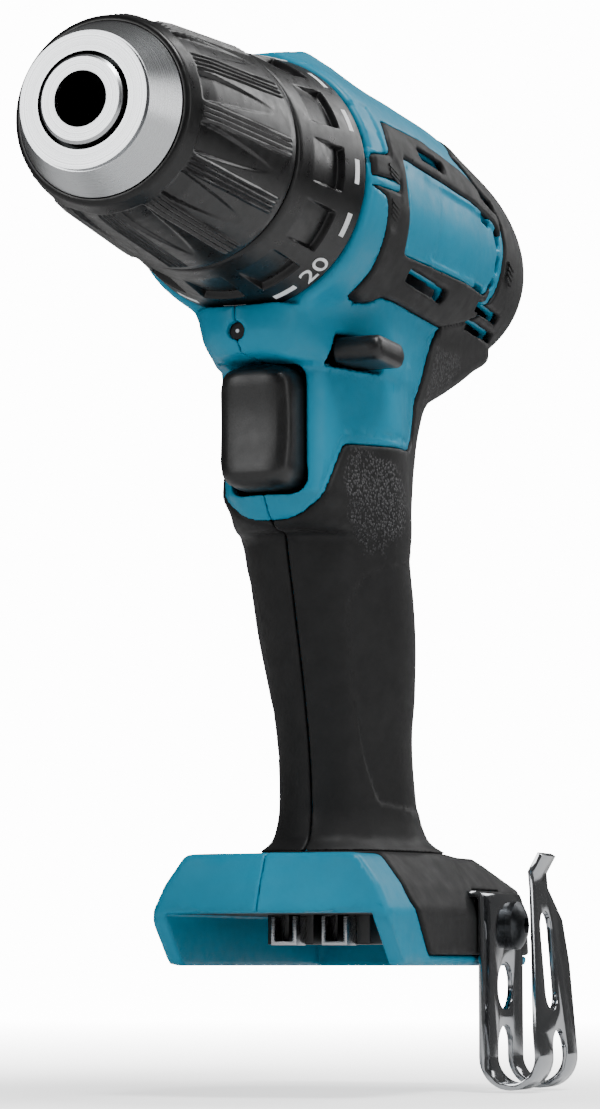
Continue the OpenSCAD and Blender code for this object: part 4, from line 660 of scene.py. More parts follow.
# stacked silicon steel sheets, half a millimetre thick: fine, dull ridges
mats["lamination"], t, s, at = material("steelLaminations", "#6f7073", 0.45, Metallic=1.0)
part = put(t, "ShaderNodeSeparateXYZ", {0: at})
sheets = put(t, "ShaderNodeMath", {0: part.outputs[0], 1: 2 * math.pi / (0.5 * mm)}, operation="MULTIPLY")
wave = put(t, "ShaderNodeMath", {0: sheets.outputs[0]}, operation="SINE")
bump = put(t, "ShaderNodeBump", {"Height": wave.outputs[0], "Strength": 0.6, "Distance": 0.04 * mm})
t.links.new(bump.outputs[0], s.inputs["Normal"])

# brushes pressed from carbon and copper: dark brown specks
mats["carbon_brass"], t, s, at = material("carbonBrush", "#3a3532", 0.5, Metallic=0.3)
tint(t, s, at, 0.9, ("#2e2b29", "#5a4a3c"))

# clear polycarbonate dome: a small painted highlight in its middle, dark beyond it
mats["lens"], t, s, at = material("clearPolycarbonate", "#0b0c0d", 0.4, **{"Specular IOR Level": 0.12})
spot = put(t, "ShaderNodeMapping", {"Vector": at, "Location": (0, 0, 0.0293), "Scale": (0, 1, 1)}).outputs[0]
far = put(t, "ShaderNodeVectorMath", {0: spot}, operation="LENGTH").outputs["Value"]
edge = put(t, "ShaderNodeMapRange", {"Value": far, "From Min": 0.28 * mm, "From Max": 0.45 * mm,
                                     "To Min": 0.0, "To Max": 1.0}).outputs["Result"]
# painted highlight in the middle, fading to dark from 0.28 to 0.45 mm out
twoShades(t, s, edge, "#dfe8ee", "#090a0b")

# green solder mask over a woven board
mats["circuit_board"], t, s, at = material("circuitBoard", "#1f5a38", 0.35)
tint(t, s, at, 1.5, ("#1b5032", "#246643"))

# extruded PVC, smooth and slightly waxy
mats["lead_insulation"], t, s, at = material("leadInsulation", "#8e1f1d", 0.45)
tint(t, s, at, 8, ("#851b1a", "#992724"))

# pad-printed white ink, thin enough to dull a little
mats["ink"], t, s, at = material("dialInk", "#e9ebec", 0.5)
tint(t, s, at, 0.8, ("#dfe1e3", "#f2f3f4"))

# black acetal for the sleeve and torque ring: darker and glossier than the nylon
mats["acetal"], t, s, at = material("blackAcetal", "#0a0a0b", 0.32, **{"Specular IOR Level": 0.36})
tint(t, s, at, 14, ("#09090a", "#0d0d0e"))
sheen(t, s, at, 2, 0.26, 0.4)
grain(t, s, at, 0.4, 0.01)

slotOf = {p["node"]: p["material_slot"] for p in frame["record"]["subparts"]}
for name, obj in node.items():
    obj.data.materials.clear()
    obj.data.materials.append(mats[slotOf[name]])
print("materials:", len(mats))


def finished(obj, body, slotName, *stands, mat=None):
    obj.data.materials.clear()
    obj.data.materials.append(mat or mats[slotName])
    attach(obj, body)
    if stands:
        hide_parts(*stands)
    return obj


# shells
trim = {
    "labelInset": 1.1,     # the label's bed lies this far inside its outline
    "labelDepth": 0.35,
    "windowR": 0.95,       # narrow windows along the label's edge
    "windowDepth": 3,
    "arcR": 24.6,          # step behind the ring: its middle radius
    "arcHalf": 3.4,        # half its width
    "arcAt": 0.4,          # where it lies around the barrel, radians
    "arcRun": 5,           # half its length
    "arcRunR": 25,         # radius at which that is taken
    "arcDepth": 0.5,
    "arcBack": -79,
    "grooveDepth": 0.3,    # fine groove that follows the rim over the lower edge
    "grooveWidth": 0.45,
    "grooveInset": 0.2,
    "grooveTop": -20,
}
labelWindows = [((-133.5, 4.3), (-139.5, 3.9)), ((-144.6, 2.9), (-146.2, 0.9)),
                ((-146.9, -2.2), (-146.8, -4.4)), ((-145.7, -7.2), (-143.9, -8.9)),
                ((-139.5, -10.1), (-134, -10.4))]
rimLine = [(-70, -59.4), (-84.2, -60.4), (-85.6, -56.2), (-90.2, -47.4), (-92.6, -46.5), (-112, -45.4),
           (-118.8, -44.6), (-121.8, -30), (-125, -20.5), (-140, -20), (-140, -10), (-60, -10),
           (-60, -59.4)]


def sunk(shell, region, depth, soft):
    # lowers the surface by depth inside region
    return smoothMax(shell, -np.maximum(region, -(skin + depth)), soft)


def shellField():
    label = outlineField(labelLine, gx, gz, 2)
    windows = np.full(label.shape, farOff)
    for a, b in labelWindows:
        windows = np.minimum(windows, slot(gx, gz, a, b, trim["windowR"]))
    shell = smoothMax(skin, -cut, 0.5)
    shell = sunk(shell, rubberZone(0), form["rubberDepth"], 0.3)
    shell = sunk(shell, np.maximum(flat(label + trim["labelInset"]), sideFrom - yAt), trim["labelDepth"], 0.3)
    shell = sunk(shell, np.maximum(flat(windows), sideFrom - yAt), trim["windowDepth"], 0.3)
    around = np.abs(np.arctan2(zAt, yAt) - trim["arcAt"]) * trim["arcRunR"] - trim["arcRun"]
    arc = np.maximum(np.abs(np.hypot(yAt, zAt) - trim["arcR"]) - trim["arcHalf"], around)
    shell = sunk(shell, np.maximum(arc, trim["arcBack"] - xAt), trim["arcDepth"], 0.4)
    rim = outlineField(rimLine, gx, gz, 1.5) + trim["grooveInset"]
    groove = flat(np.exp(-(rim / trim["grooveWidth"]) ** 2) * trim["grooveDepth"])
    near = flat(np.abs(rim) < 2 * trim["grooveWidth"]) & (zAt < trim["grooveTop"])
    near = near & (np.abs(shell - skin) < 0.01)
    shell = np.maximum(shell, np.where(near, skin + groove, -9))
    return smoothMax(shell, form["seam"] - yAt, 0.25)


# the shell's faces deep in the battery bay and the chamber over it are painted black as the shade deep inside
# them
bayShade = {"low": (-159.6, -1, -140.2), "high": (-84, 21.2, -129), "inside": 1.2}


def shadeBay(obj):
    obj.data.materials.append(mats["inner_plastic"])
    centres = np.empty(len(obj.data.polygons) * 3, np.float32)
    obj.data.polygons.foreach_get("center", centres)
    c = centres.reshape(-1, 3) / mm
    c[:, 1] = np.abs(c[:, 1])
    i, j, k = (((c - (gx[0], gy[0], gz[0])) / voxel).round().astype(int)).T
    # painted shade: faces deep inside take the black inner plastic
    shadedFaces = ((c > bayShade["low"]) & (c < bayShade["high"])).all(1) & (skin[i, j, k] < -bayShade["inside"])
    obj.data.polygons.foreach_set("material_index", shadedFaces.astype(np.int32))


corner = (gx[0], gy[0], gz[0])
cut = openingField()
shellLeft = shellField()
heads = headHoles()
left = meshed("shell_left", shellLeft, corner, voxel)
finished(left, "tool", "teal_shell", "housing_left")
shadeBay(left)
right = meshed("shell_right", smoothMax(shellLeft, -heads, 0.4), corner, voxel, mirrored=True)
finished(right, "tool", "teal_shell", "housing_right")
shadeBay(right)
print("shells:", len(left.data.polygons), len(right.data.polygons))

# rubber overmoulds
relief = {
    "palmDrop": 0.38,      # the side panel lies this much lower
    "palmEdge": 0.7,
    "tabDrop": 0.35,       # and so does the tab behind the ring
    "tabEdge": 1.2,
    "widest": 26.98,       # nothing stands further out from the middle
    "floorGap": 0.08,      # the rubber ends this far short of the recess's floor
    "seamGap": 0.05,       # and this much further from the seam than the shell
    "stippleFrom": 6,      # the stipple starts this far from the seam
    "stippleFade": 0.8,
}
stippleLine = [(-91.6, -48.6), (-104.7, -50.6), (-112.6, -56.5), (-110, -64), (-102.4, -69.5),
               (-92.8, -62.5), (-89.5, -55)]
padLine = [(-127, -24), (-146.2, -22.6), (-139, -32), (-129, -50), (-124, -46), (-126.5, -34)]
palmLine = [(-102.2, -72.6), (-99.1, -78.2), (-102.6, -90.7), (-108.7, -108.4), (-113, -117.4), (-128, -119),
            (-150, -117), (-150, -72), (-124, -66)]
tabLine = [(-70, 6), (-80.5, 6), (-85.5, 2), (-85.5, -8.5), (-70, -8.5)]
bayRoom = ((-400, -21.6, -200), (0, 21.6, -137.4))


def rubberField():
    proud = np.full((len(gx), len(gz)), form["rubberProud"])
    for line, soft, drop, edge in ((palmLine, 2, relief["palmDrop"], relief["palmEdge"]),
                                   (tabLine, 1, relief["tabDrop"], relief["tabEdge"])):
        proud = proud - drop * np.clip(0.5 - outlineField(line, gx, gz, soft) / edge, 0, 1)
    outer = smoothMax(skin - flat(proud), yAt - relief["widest"], 0.2)
    rubber = smoothMax(outer, rubberZone(form["rubberGap"]), 0.7)
    rubber = smoothMax(rubber, -(skin + form["rubberDepth"] - relief["floorGap"]), 0.1)
    rubber = smoothMax(rubber, -cut, 0.4)
    rubber = smoothMax(rubber, -block(xAt, yAt, zAt, *bayRoom), 0.3)
    return smoothMax(rubber, form["seam"] + relief["seamGap"] - yAt, 0.3)


def stippleAt(p):
    # 1 well inside the stippled patches, fading to 0 at their edges
    i = np.clip((p[:, 0] - gx[0]) / voxel, 0, len(gx) - 1.01).round().astype(int)
    k = np.clip((p[:, 2] - gz[0]) / voxel, 0, len(gz) - 1.01).round().astype(int)
    return np.clip(-patches[i, k] / relief["stippleFade"], 0, 1) * (np.abs(p[:, 1]) > relief["stippleFrom"])


patches = np.minimum(outlineField(stippleLine, gx, gz, 1), outlineField(padLine, gx, gz, 1))
rubberLeft = rubberField()
left = meshed("overmould_left", rubberLeft, corner, voxel, masks={"stipple": stippleAt})
finished(left, "tool", "grip_rubber", "grip_left")
rubberRight = smoothMax(rubberLeft, -heads, 0.4)
right = meshed("overmould_right", rubberRight, corner, voxel, mirrored=True, masks={"stipple": stippleAt})
finished(right, "tool", "grip_rubber", "grip_right")
print("overmoulds:", len(left.data.polygons), len(right.data.polygons))


# turned pieces whose radius changes around them
def revolve(name, outerX, angles, outerR, innerLine):
    # outerR[i, j] at outerX[i] and angles[j]; innerLine closes the section from the back to the front
    c, s = np.cos(angles), np.sin(angles)
    rings = [np.stack([np.full(len(c), x), r * c, r * s], 1) for x, r in [*zip(outerX, outerR), *innerLine]]
    n, around = len(rings), len(c)
    i, j = np.meshgrid(np.arange(n), np.arange(around), indexing="ij")
    i2, j2 = (i + 1) % n, (j + 1) % around
    quads = np.stack([i * around + j, i * around + j2, i2 * around + j2, i2 * around + j], -1).reshape(-1, 4)
    mesh = bpy.data.meshes.new(name)
    mesh.from_pydata((np.concatenate(rings) * mm).tolist(), [], quads.tolist())
    outward(mesh)
    mesh.shade_smooth()
    mesh.set_sharp_from_angle(angle=math.radians(38))
    return added(name, mesh)


def fade(t):
    t = np.clip(t, 0, 1)
    return t * t * (3 - 2 * t)


def spaced(*stretches):
    # even steps in each stretch: start, end and count, with the end left to the next one
    return np.concatenate([np.linspace(start, end, count, endpoint=False) for start, end, count in stretches])


def aroundTool(steps, count, turnBy):
    # the same steps in each of count equal parts: the angle of each, and its place within its part
    parts = [steps + turnBy + 360 / count * k for k in range(count)]
    return np.radians(np.concatenate(parts)), np.tile(steps, count)


def profile(line, x):
    return np.interp(x, *np.array(line).T)


sleeve = {
    "lands": 12,           # grooved strips around it
    "turn": -3.0,          # where the first strip lies, degrees
    "landWidth": 3.9,      # width of one strip
    "groovePitch": 0.95,
    "grooveDepth": 0.34,
    "stripProud": 0.3,
    "stripBack": -43.4,
    "scoop": 0.95,         # depth of the hollow between strips at its front
    "scoopFront": -11.8,
    "scoopBack": -38.5,
    "scoopR": 20,          # radius at which a strip's angle is taken
    "bore": 17.2,
    "step": (12.85, -12.3),       # radius and place of the step inside its front
    "mouth": (16.05, -8.2),       # and of its front edge
    "lip": (18.9, -46.9),         # and of the lip that hides the gap before the ring
}
sleeveLine = [(-45.8, 20.9), (-45.7, 21.25), (-45.5, 21.42), (-45, 21.5), (-43.5, 21.5), (-17.6, 19.0),
              (-11.8, 18.0), (-9.5, 17.35), (-8.9, 17.2), (-8.5, 17.0), (-8.25, 16.6), (-8.2, 16.25)]
halfPart = 180 / sleeve["lands"]
# steps around one part, closer across its grooved strip
steps = spaced((-halfPart, -6.2, 18), (-6.2, 6.2, 36), (6.2, halfPart, 18))
ang, off = aroundTool(steps, sleeve["lands"], sleeve["turn"])
front = sleeve["scoopFront"]
# places of the rings, closest where the profile turns
xs = np.concatenate([[-8.2, -8.25, -8.5, -8.9, -9.5], np.linspace(-9.9, front + 0.4, 5),
                     np.linspace(front + 0.15, front - 0.9, 9), np.linspace(front - 1.3, -45, 56),
                     [-45.2, -45.5, -45.7, -45.8]])
base = profile(sleeveLine, xs)
along = np.clip((front - xs) / (front - sleeve["scoopBack"]), 0, 1)
halfLand = math.degrees(sleeve["landWidth"] / 2 / sleeve["scoopR"])
halfScoop = (halfPart - halfLand) * np.clip(1 - along, 0, 1) ** 0.55
# hollows that narrow and grow shallow towards the back
inScoop = fade((halfScoop[:, None] - (halfPart - np.abs(off))[None, :]) / 1.6)
inScoop = inScoop * fade((front + 0.2 - xs) / 1.6)[:, None] * (along < 1)[:, None]
radii = base[:, None] - inScoop * (sleeve["scoop"] * (1 - along) ** 1.1)[:, None]
# grooved strips between them
across = np.radians(off)[None, :] * base[:, None]
wave = 0.5 + 0.5 * np.cos(2 * math.pi * across / sleeve["groovePitch"])
strip = fade((sleeve["landWidth"] / 2 - np.abs(across)) / 0.25 + 0.4)
strip = strip * fade((front - 0.2 - xs) / 0.8)[:, None] * fade((xs - sleeve["stripBack"]) / 0.8)[:, None]
radii = radii + strip * (sleeve["stripProud"] - wave * sleeve["grooveDepth"])
low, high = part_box("chuck_nut")
nutBack, nutFront, nutR = low[0] / mm, high[0] / mm, high[1] / mm
(stepR, stepX), (mouthR, mouthX), (lipR, lipX) = sleeve["step"], sleeve["mouth"], sleeve["lip"]
inner = [(sleeveLine[0][0], lipR), (lipX, lipR), (lipX, sleeve["bore"]), (nutBack, sleeve["bore"]),
         (nutBack, nutR), (nutFront, nutR), (nutFront, stepR), (stepX, stepR), (stepX, mouthR),
         (mouthX, mouthR)]
obj = revolve("chuck_grip", xs, ang, radii, inner)
finished(obj, "sleeve", "black_plastic", "chuck_sleeve", mat=mats["acetal"])
print("sleeve:", len(obj.data.polygons))

ring = {
    "pockets": 12,
    "turn": -2.5,          # where the first pocket lies, degrees
    "pocketWidth": 8.2,
    "pocketFront": -52.8,
    "pocketBack": -63.4,
    "pocketDepth": 1.35,
}
ringLine = [(-71.5, 24.5), (-71.4, 24.75), (-71.2, 24.86), (-70.9, 24.9), (-70.6, 24.86), (-48, 21.3),
            (-47.6, 21.1), (-47.4, 20.9), (-47.3, 20.65)]
ringInner = [(-71.5, 23.6), (-67.4, 23.6), (-67.4, 20.4), (-50, 20.4), (-50, 19.2), (-47.3, 19.2)]
halfPart = 180 / ring["pockets"]
# steps around one part, closer at the sides of its pocket
steps = spaced((-halfPart, -11.6, 3), (-11.6, -9.2, 8), (-9.2, 9.2, 12), (9.2, 11.6, 8), (11.6, halfPart, 3))
ang, off = aroundTool(steps, ring["pockets"], ring["turn"])
front, back = ring["pocketFront"], ring["pocketBack"]
xs = np.concatenate([[-47.3, -47.4, -47.6, -48], np.linspace(-49, front + 0.5, 6),
                     np.linspace(front, back + 0.7, 28), np.linspace(back + 0.5, back - 0.7, 12),
                     np.linspace(back - 1.2, -70.6, 10), [-70.9, -71.2, -71.4, -71.5]])
base = profile(ringLine, xs)
# pockets that deepen towards the back and end in a wall
deepening = np.clip((front - xs) / (front - back), 0, 1) * fade((xs - back + 0.25) / 0.5)
across = np.radians(np.abs(off))[None, :] * base[:, None]
inside = fade((ring["pocketWidth"] / 2 - across) / 0.5 + 0.5)
radii = base[:, None] - inside * (ring["pocketDepth"] * deepening)[:, None]
obj = revolve("dial_ring", xs, ang, radii, ringInner)
finished(obj, "torque_ring", "black_plastic", "torque_ring", mat=mats["acetal"])
print("dial ring:", len(obj.data.polygons))


# controls
def fieldPiece(name, field, box, step):
    low, high = box
    a, b, c = (np.arange(l - 3 * step, h + 3.5 * step, step) for l, h in zip(low, high))
    return meshed(name, field(a[:, None, None], b[None, :, None], c[None, None, :]), (a[0], b[0], c[0]), step)


trigger = {
    "step": 0.3,           # grid step
    "front": 4.5,          # edge radius of its face, at the sides
    "ends": 5,             # and above and below
    "hollowR": 34.2,       # finger hollow up the face
    "hollowAhead": 33,     # how far ahead of the face its centre lies
}
triggerBox = [np.array(c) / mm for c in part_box("trigger")]


def triggerField(x, y, z):
    low, high = triggerBox
    middle = ((low + high) / 2)[2]
    field = smoothMax(x - high[0], np.abs(y) - high[1], trigger["front"])
    field = smoothMax(field, np.abs(z - middle) - (high[2] - low[2]) / 2, trigger["ends"])
    fromCentre = np.hypot(x - high[0] - trigger["hollowAhead"], z - middle)
    field = smoothMax(field, trigger["hollowR"] - fromCentre, 1.5)
    return smoothMax(field, low[0] - x, 0.3)


obj = fieldPiece("trigger_shell", triggerField, triggerBox, trigger["step"])
finished(obj, "trigger", "black_plastic", "trigger")

lever = {
    "step": 0.25,
    "round": 2.6,          # corners of the paddles seen from the side
    "ends": 1.8,           # edges of their outer faces
    "paddleFrom": 8.5,     # they start this far from the middle
    "nearer": 1.5,         # the right paddle starts and ends this much nearer the middle
    "barHalf": 9,          # half length of the bar
    "barLow": (0.6, 2.2),  # the bar between them is inset from the paddles' back and underside
    "barHigh": (7, 0.2),   # and from their front and top
}
leverBox = [np.array(c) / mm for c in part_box("direction_lever")]


def leverField(x, y, z):
    # bar across the tool with a soft paddle at each end
    low, high = leverBox
    middle, half = (low + high) / 2, (high - low) / 2
    out = np.where(y > middle[1], y - middle[1], middle[1] - y + lever["nearer"])
    face = smoothMax(np.abs(x - middle[0]) - half[0], np.abs(z - middle[2]) - half[2], lever["round"])
    paddle = smoothMax(smoothMax(face, out - half[1], lever["ends"]), lever["paddleFrom"] - out, 0.3)
    barLow = (low[0] + lever["barLow"][0], middle[1] - lever["barHalf"], low[2] + lever["barLow"][1])
    barHigh = (high[0] - lever["barHigh"][0], middle[1] + lever["barHalf"], high[2] - lever["barHigh"][1])
    return np.minimum(paddle, block(x, y, z, barLow, barHigh))


obj = fieldPiece("direction_paddle", leverField, leverBox, lever["step"])
finished(obj, "direction_lever", "black_plastic", "direction_lever")
print("controls done")

# pieces whose edges are only softened: new name, then width and least angle of a softened edge
softEdges = {
    "belt_hook": ("hook_strip", 0.22, 40),
    "housing_screws": ("shell_screws", 0.15, 30),
    "terminal_block": ("terminal_holder", 0.25, 30),
    "terminal_blades": ("contact_blades", 0.12, 30),
}
frontScrew = {"sunk": 2.6, "reach": 4, "side": -10}   # it lies deeper, because the chin is thin there


def baked(obj):
    # the object's mesh with its modifiers applied
    done = bpy.data.meshes.new_from_object(obj.evaluated_get(bpy.context.evaluated_depsgraph_get()))
    obj.modifiers.clear()
    obj.data = done
    return done


def sinkScrew(bm):
    px, pz, _ = posts[0]
    for v in bm.verts:
        near = math.hypot(v.co.x / mm - px, v.co.z / mm - pz) < frontScrew["reach"]
        if near and v.co.y < frontScrew["side"] * mm:
            v.co.y += frontScrew["sunk"] * mm


for name, (newName, width, angle) in softEdges.items():
    mesh = node[name].data.copy()
    bm = bmesh.new()
    bm.from_mesh(mesh)
    bmesh.ops.remove_doubles(bm, verts=bm.verts, dist=1e-6)
    bmesh.ops.dissolve_limit(bm, angle_limit=math.radians(0.5), verts=bm.verts, edges=bm.edges)
    if name == "housing_screws":
        sinkScrew(bm)
    bm.to_mesh(mesh)
    bm.free()
    obj = added(newName, mesh)
    bevel = obj.modifiers.new("edges", "BEVEL")
    bevel.width, bevel.segments = width * mm, 2
    bevel.limit_method, bevel.angle_limit = "ANGLE", math.radians(angle)
    done = baked(obj)
    done.shade_smooth()
    done.set_sharp_from_angle(angle=math.radians(32))
    finished(obj, "tool", slotOf[name], name)
print("softened pieces done")

# springs, copied in steel as they stand: new name, the two bodies, and place of the fixed end in millimetres
springs = {
    "clutch_spring": ("clutch_coil", "torque_ring", "adjusting_nut", -74.1),
    "trigger_spring": ("trigger_coil", "tool", "trigger", -92.6),
}
for name, (newName, still, moving, fixedEnd) in springs.items():
    obj = added(newName, node[name].data.copy())
    obj.data.materials.clear()
    obj.data.materials.append(mats["bright_steel"])
    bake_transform(obj)
    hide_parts(name)
print("springs done")

# marks of the torque dial and ribs of the overmould
marks = {
    "count": 15,           # places around the ring
    "every": 5,            # every fifth place, from the first, is bare for a number
    "pitch": 24.5,         # degrees
    "start": -50.0,
    "size": (1.5, 4.7, 0.26),   # of a dash along the tool, around the ring and through its thickness
    "sunk": 0.08,          # how far a dash's middle lies under the ring's surface
    "x": -68.0,
    "numbers": {"20": -50, "15": 72.5, "10": 195},
    "digit": 4.4,          # height of the numbers
    "digitShare": 0.7,     # that height as a share of the letters' size
    "digitThick": 0.12,    # half thickness
    "digitR": 24.5,        # radius at which their width is taken
    "digitLift": 0.02,     # of their middle over the ring's surface
    "digitStep": 0.8,      # longer edges are split before they are bent
}
# rows of ribs; the first place of each is left bare
ribRows = {
    "tab": {"places": 4, "x": -80.9, "shift": -0.25, "radius": 26.62, "start": 3.5, "pitch": -0.85,
            "size": (4.6, 0.42, 0.7), "taper": 0.0},
    "bar": {"places": 5, "x": -82.2, "shift": -0.3, "radius": 26.62, "start": -3.0, "pitch": -0.85,
            "size": (4.2, 0.42, 0.7), "taper": 0.0},
    "rear": {"places": 5, "x": -154.4, "shift": 0.1, "radius": 24.6, "start": -1.3, "pitch": -1.05,
             "size": (4.6, 0.5, 0.9), "taper": 0.115},
}
ribTurn = 14.0             # degrees that a rib leans
coneLine = ringLine[4:6]   # the dial's straight cone, from its back to its front
(backX, backR), (frontX, frontR) = coneLine

# bars in a row on an unrolled strip, then wrapped around the tool's long axis
tree = bpy.data.node_groups.new("barsAround", "GeometryNodeTree")
ids = {}
for label, kind in {"Count": "Int", "Every": "Int", "Place": "Float", "Shift": "Float", "Radius": "Float",
                    "Start": "Float", "Step": "Float", "Taper": "Float", "Size": "Vector", "Turn": "Float",
                    "Material": "Material"}.items():
    ids[label] = tree.interface.new_socket(label, in_out="INPUT", socket_type="NodeSocket" + kind).identifier
tree.interface.new_socket("Geometry", in_out="OUTPUT", socket_type="NodeSocketGeometry")
given = put(tree, "NodeGroupInput").outputs
index = put(tree, "GeometryNodeInputIndex").outputs[0]
row = {}
for axis, step, start in ((0, "Shift", "Place"), (1, "Step", "Start")):
    terms = {0: index, 1: given[step], 2: given[start]}
    row[axis] = put(tree, "ShaderNodeMath", terms, operation="MULTIPLY_ADD").outputs[0]
place = put(tree, "ShaderNodeCombineXYZ", row).outputs[0]
points = put(tree, "GeometryNodeMeshLine", {"Count": given["Count"]}).outputs[0]
placed = put(tree, "GeometryNodeSetPosition", {"Geometry": points, "Position": place}).outputs[0]
turnOf = put(tree, "ShaderNodeMath", {0: index, 1: given["Every"]}, operation="MODULO").outputs[0]
chosen = put(tree, "FunctionNodeCompare", {0: turnOf, 1: 0.5}, operation="GREATER_THAN").outputs[0]
barMesh = {"Size": given["Size"], "Vertices X": 8, "Vertices Y": 8, "Vertices Z": 2}
bar = put(tree, "GeometryNodeMeshCube", barMesh).outputs[0]
lean = put(tree, "ShaderNodeCombineXYZ", {2: given["Turn"]}).outputs[0]
bars = {"Points": placed, "Selection": chosen, "Instance": bar, "Rotation": lean}
copies = put(tree, "GeometryNodeInstanceOnPoints", bars).outputs[0]
real = put(tree, "GeometryNodeRealizeInstances", {0: copies}).outputs[0]
part = put(tree, "ShaderNodeSeparateXYZ", {0: put(tree, "GeometryNodeInputPosition").outputs[0]}).outputs
angle = put(tree, "ShaderNodeMath", {0: part[1], 1: given["Radius"]}, operation="DIVIDE").outputs[0]
fromPlace = put(tree, "ShaderNodeMath", {0: part[0], 1: given["Place"]}, operation="SUBTRACT").outputs[0]
level = put(tree, "ShaderNodeMath", {0: part[2], 1: given["Radius"]}, operation="ADD").outputs[0]
terms = {0: fromPlace, 1: given["Taper"], 2: level}
radius = put(tree, "ShaderNodeMath", terms, operation="MULTIPLY_ADD").outputs[0]
wrapped = {0: part[0]}
for axis, kind in ((1, "COSINE"), (2, "SINE")):
    swing = put(tree, "ShaderNodeMath", {0: angle}, operation=kind).outputs[0]
    wrapped[axis] = put(tree, "ShaderNodeMath", {0: radius, 1: swing}, operation="MULTIPLY").outputs[0]
position = put(tree, "ShaderNodeCombineXYZ", wrapped).outputs[0]
bent = put(tree, "GeometryNodeSetPosition", {"Geometry": real, "Position": position}).outputs[0]
inked = put(tree, "GeometryNodeSetMaterial", {"Geometry": bent, "Material": given["Material"]}).outputs[0]
tree.links.new(inked, put(tree, "NodeGroupOutput").inputs[0])


def grown(name, values):
    # runs the tree once and keeps its result as a plain mesh
    obj = added(name, bpy.data.meshes.new(name))
    mod = obj.modifiers.new("tree", "NODES")
    mod.node_group = tree
    for label, value in values.items():
        mod[ids[label]] = value
    outward(baked(obj), merge=1e-8)
    return obj


inkR = float(profile(coneLine, marks["x"])) - marks["sunk"]
dashes = grown("dial_dashes", {
    "Count": marks["count"], "Every": marks["every"],
    "Place": marks["x"] * mm, "Shift": 0.0, "Radius": inkR * mm, "Taper": (frontR - backR) / (frontX - backX),
    "Start": math.radians(marks["start"]) * inkR * mm, "Step": math.radians(marks["pitch"]) * inkR * mm,
    "Size": tuple(s * mm for s in marks["size"]), "Turn": 0.0, "Material": mats["ink"]})
finished(dashes, "torque_ring", "black_plastic", mat=mats["ink"])
for row, rib in ribRows.items():
    r = rib["radius"]
    start = math.asin(rib["start"] / r) * r
    for side, hand, first in (("left", 1, start), ("right", -1, math.pi * r - start)):
        ribs = grown("ribs_%s_%s" % (row, side), {
            "Count": rib["places"], "Every": rib["places"],
            "Place": rib["x"] * mm, "Shift": rib["shift"] * mm, "Radius": r * mm, "Taper": rib["taper"],
            "Start": first * mm, "Step": rib["pitch"] * hand * mm, "Size": tuple(s * mm for s in rib["size"]),
            "Turn": math.radians(ribTurn) * hand, "Material": mats["grip_rubber"]})
        finished(ribs, "tool", "grip_rubber")

bm = bmesh.new()
for text, angle in marks["numbers"].items():
    curve = bpy.data.curves.new("number", "FONT")
    curve.body, curve.align_x, curve.align_y = text, "CENTER", "CENTER"
    curve.size, curve.extrude = marks["digit"] / marks["digitShare"], marks["digitThick"]
    temp = added("number", curve)
    mesh = bpy.data.meshes.new_from_object(temp.evaluated_get(bpy.context.evaluated_depsgraph_get()))
    bpy.data.objects.remove(temp)
    start = len(bm.verts)
    bm.from_mesh(mesh)
    bm.verts.ensure_lookup_table()
    long = [e for e in bm.edges if e.verts[0].index >= start and e.calc_length() > marks["digitStep"]]
    bmesh.ops.subdivide_edges(bm, edges=long, cuts=2)
    for v in list(bm.verts)[start:]:
        # flat text, bent around the ring
        x = marks["x"] + v.co.y
        r = profile(coneLine, x) + marks["digitLift"] + v.co.z
        a = math.radians(angle) + v.co.x / marks["digitR"]
        v.co = Vector((x, r * math.cos(a), r * math.sin(a))) * mm
mesh = bpy.data.meshes.new("dial_numbers")
bm.to_mesh(mesh)
bm.free()
outward(mesh, merge=1e-7)
finished(added("dial_numbers", mesh), "torque_ring", "black_plastic", mat=mats["ink"])
print("dial marks done")

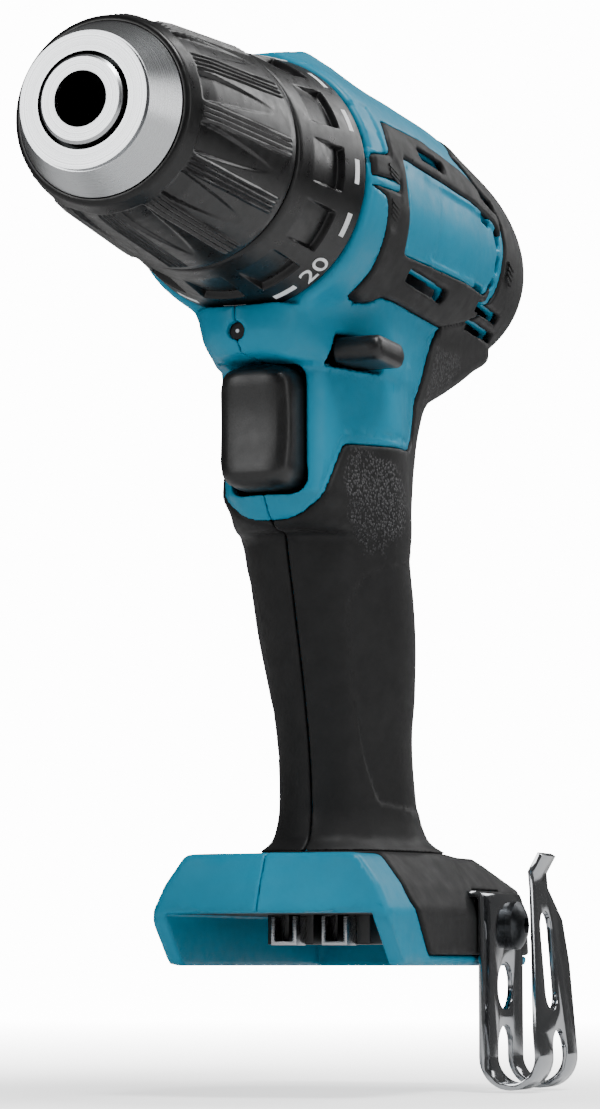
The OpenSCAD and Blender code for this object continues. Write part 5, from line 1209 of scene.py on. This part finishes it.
# paper floor: shows a soft shade near the tool and glows further off, into the white backdrop
studio = {
    "reach": 6,            # of the floor, metres
    "drop": 0.0005,        # between the tool's lowest point and the floor
    "glow": (0.05, 0.9),   # distances from the tool between which the floor brightens
    "shade": 1.4,          # its brightness near the tool
    "backdrop": 14.0,      # its brightness far off, and the backdrop's
    "fill": 0.1,           # the backdrop's strength as a light
}
floorZ = cadBox[0][2] - studio["drop"]
reach = studio["reach"]
mesh = bpy.data.meshes.new("floor")
corners = [(-reach, -reach, floorZ), (reach, -reach, floorZ), (reach, reach, floorZ), (-reach, reach, floorZ)]
mesh.from_pydata(corners, [], [(0, 1, 2, 3)])
floor = added("floor", mesh)
paper, t, s, at = material("studioPaper", "#f4f4f4", 0.9)
spot = put(t, "ShaderNodeMapping", {"Vector": at, "Location": (0.1, 0, 0), "Scale": (1, 1, 0)}).outputs[0]
far = put(t, "ShaderNodeVectorMath", {0: spot}, operation="LENGTH").outputs["Value"]
glow = put(t, "ShaderNodeMapRange", {
    "Value": far, "From Min": studio["glow"][0], "From Max": studio["glow"][1],
    "To Min": studio["shade"], "To Max": studio["backdrop"]}).outputs["Result"]
seen = put(t, "ShaderNodeLightPath").outputs["Is Camera Ray"]
lit = put(t, "ShaderNodeMath", {0: glow, 1: seen}, operation="MULTIPLY").outputs[0]
s.inputs["Emission Color"].default_value = (1, 1, 1, 1)
t.links.new(lit, s.inputs["Emission Strength"])
mesh.materials.append(paper)

# backdrop: bright white to the lens, dim as a light
world = bpy.data.worlds.new("studio")
world.use_nodes = True
tree = world.node_tree
seen = put(tree, "ShaderNodeLightPath").outputs["Is Camera Ray"]
dim = put(tree, "ShaderNodeBackground", {"Color": (1, 1, 1, 1), "Strength": studio["fill"]})
white = put(tree, "ShaderNodeBackground", {"Color": (1, 1, 1, 1), "Strength": studio["backdrop"]})
both = put(tree, "ShaderNodeMixShader", {0: seen, 1: dim.outputs[0], 2: white.outputs[0]})
tree.links.new(both.outputs[0], tree.nodes["World Output"].inputs[0])
bpy.context.scene.world = world

lights = {  # place, size, power in watts
    "key": ((0.17, 0.42, 0.86), (0.34, 0.34), 11),
    "nose": ((0.85, -0.45, 0.25), (0.4, 0.4), 3.4),
    "side": ((-0.1, 1.1, 0.25), (0.25, 0.8), 2.4),
    "back": ((-0.8, 0.35, 0.55), (0.3, 0.8), 4),
}
middle = Vector((-0.095, 0, -0.07))   # what the lights point at
for name, (place, size, watts) in lights.items():
    lamp = bpy.data.lights.new(name, "AREA")
    lamp.shape = "RECTANGLE"
    lamp.size, lamp.size_y = size
    lamp.energy = watts
    obj = added(name, lamp)
    obj.location = place
    obj.rotation_euler = (middle - Vector(place)).to_track_quat("-Z", "Y").to_euler()
print("stage and lights set")
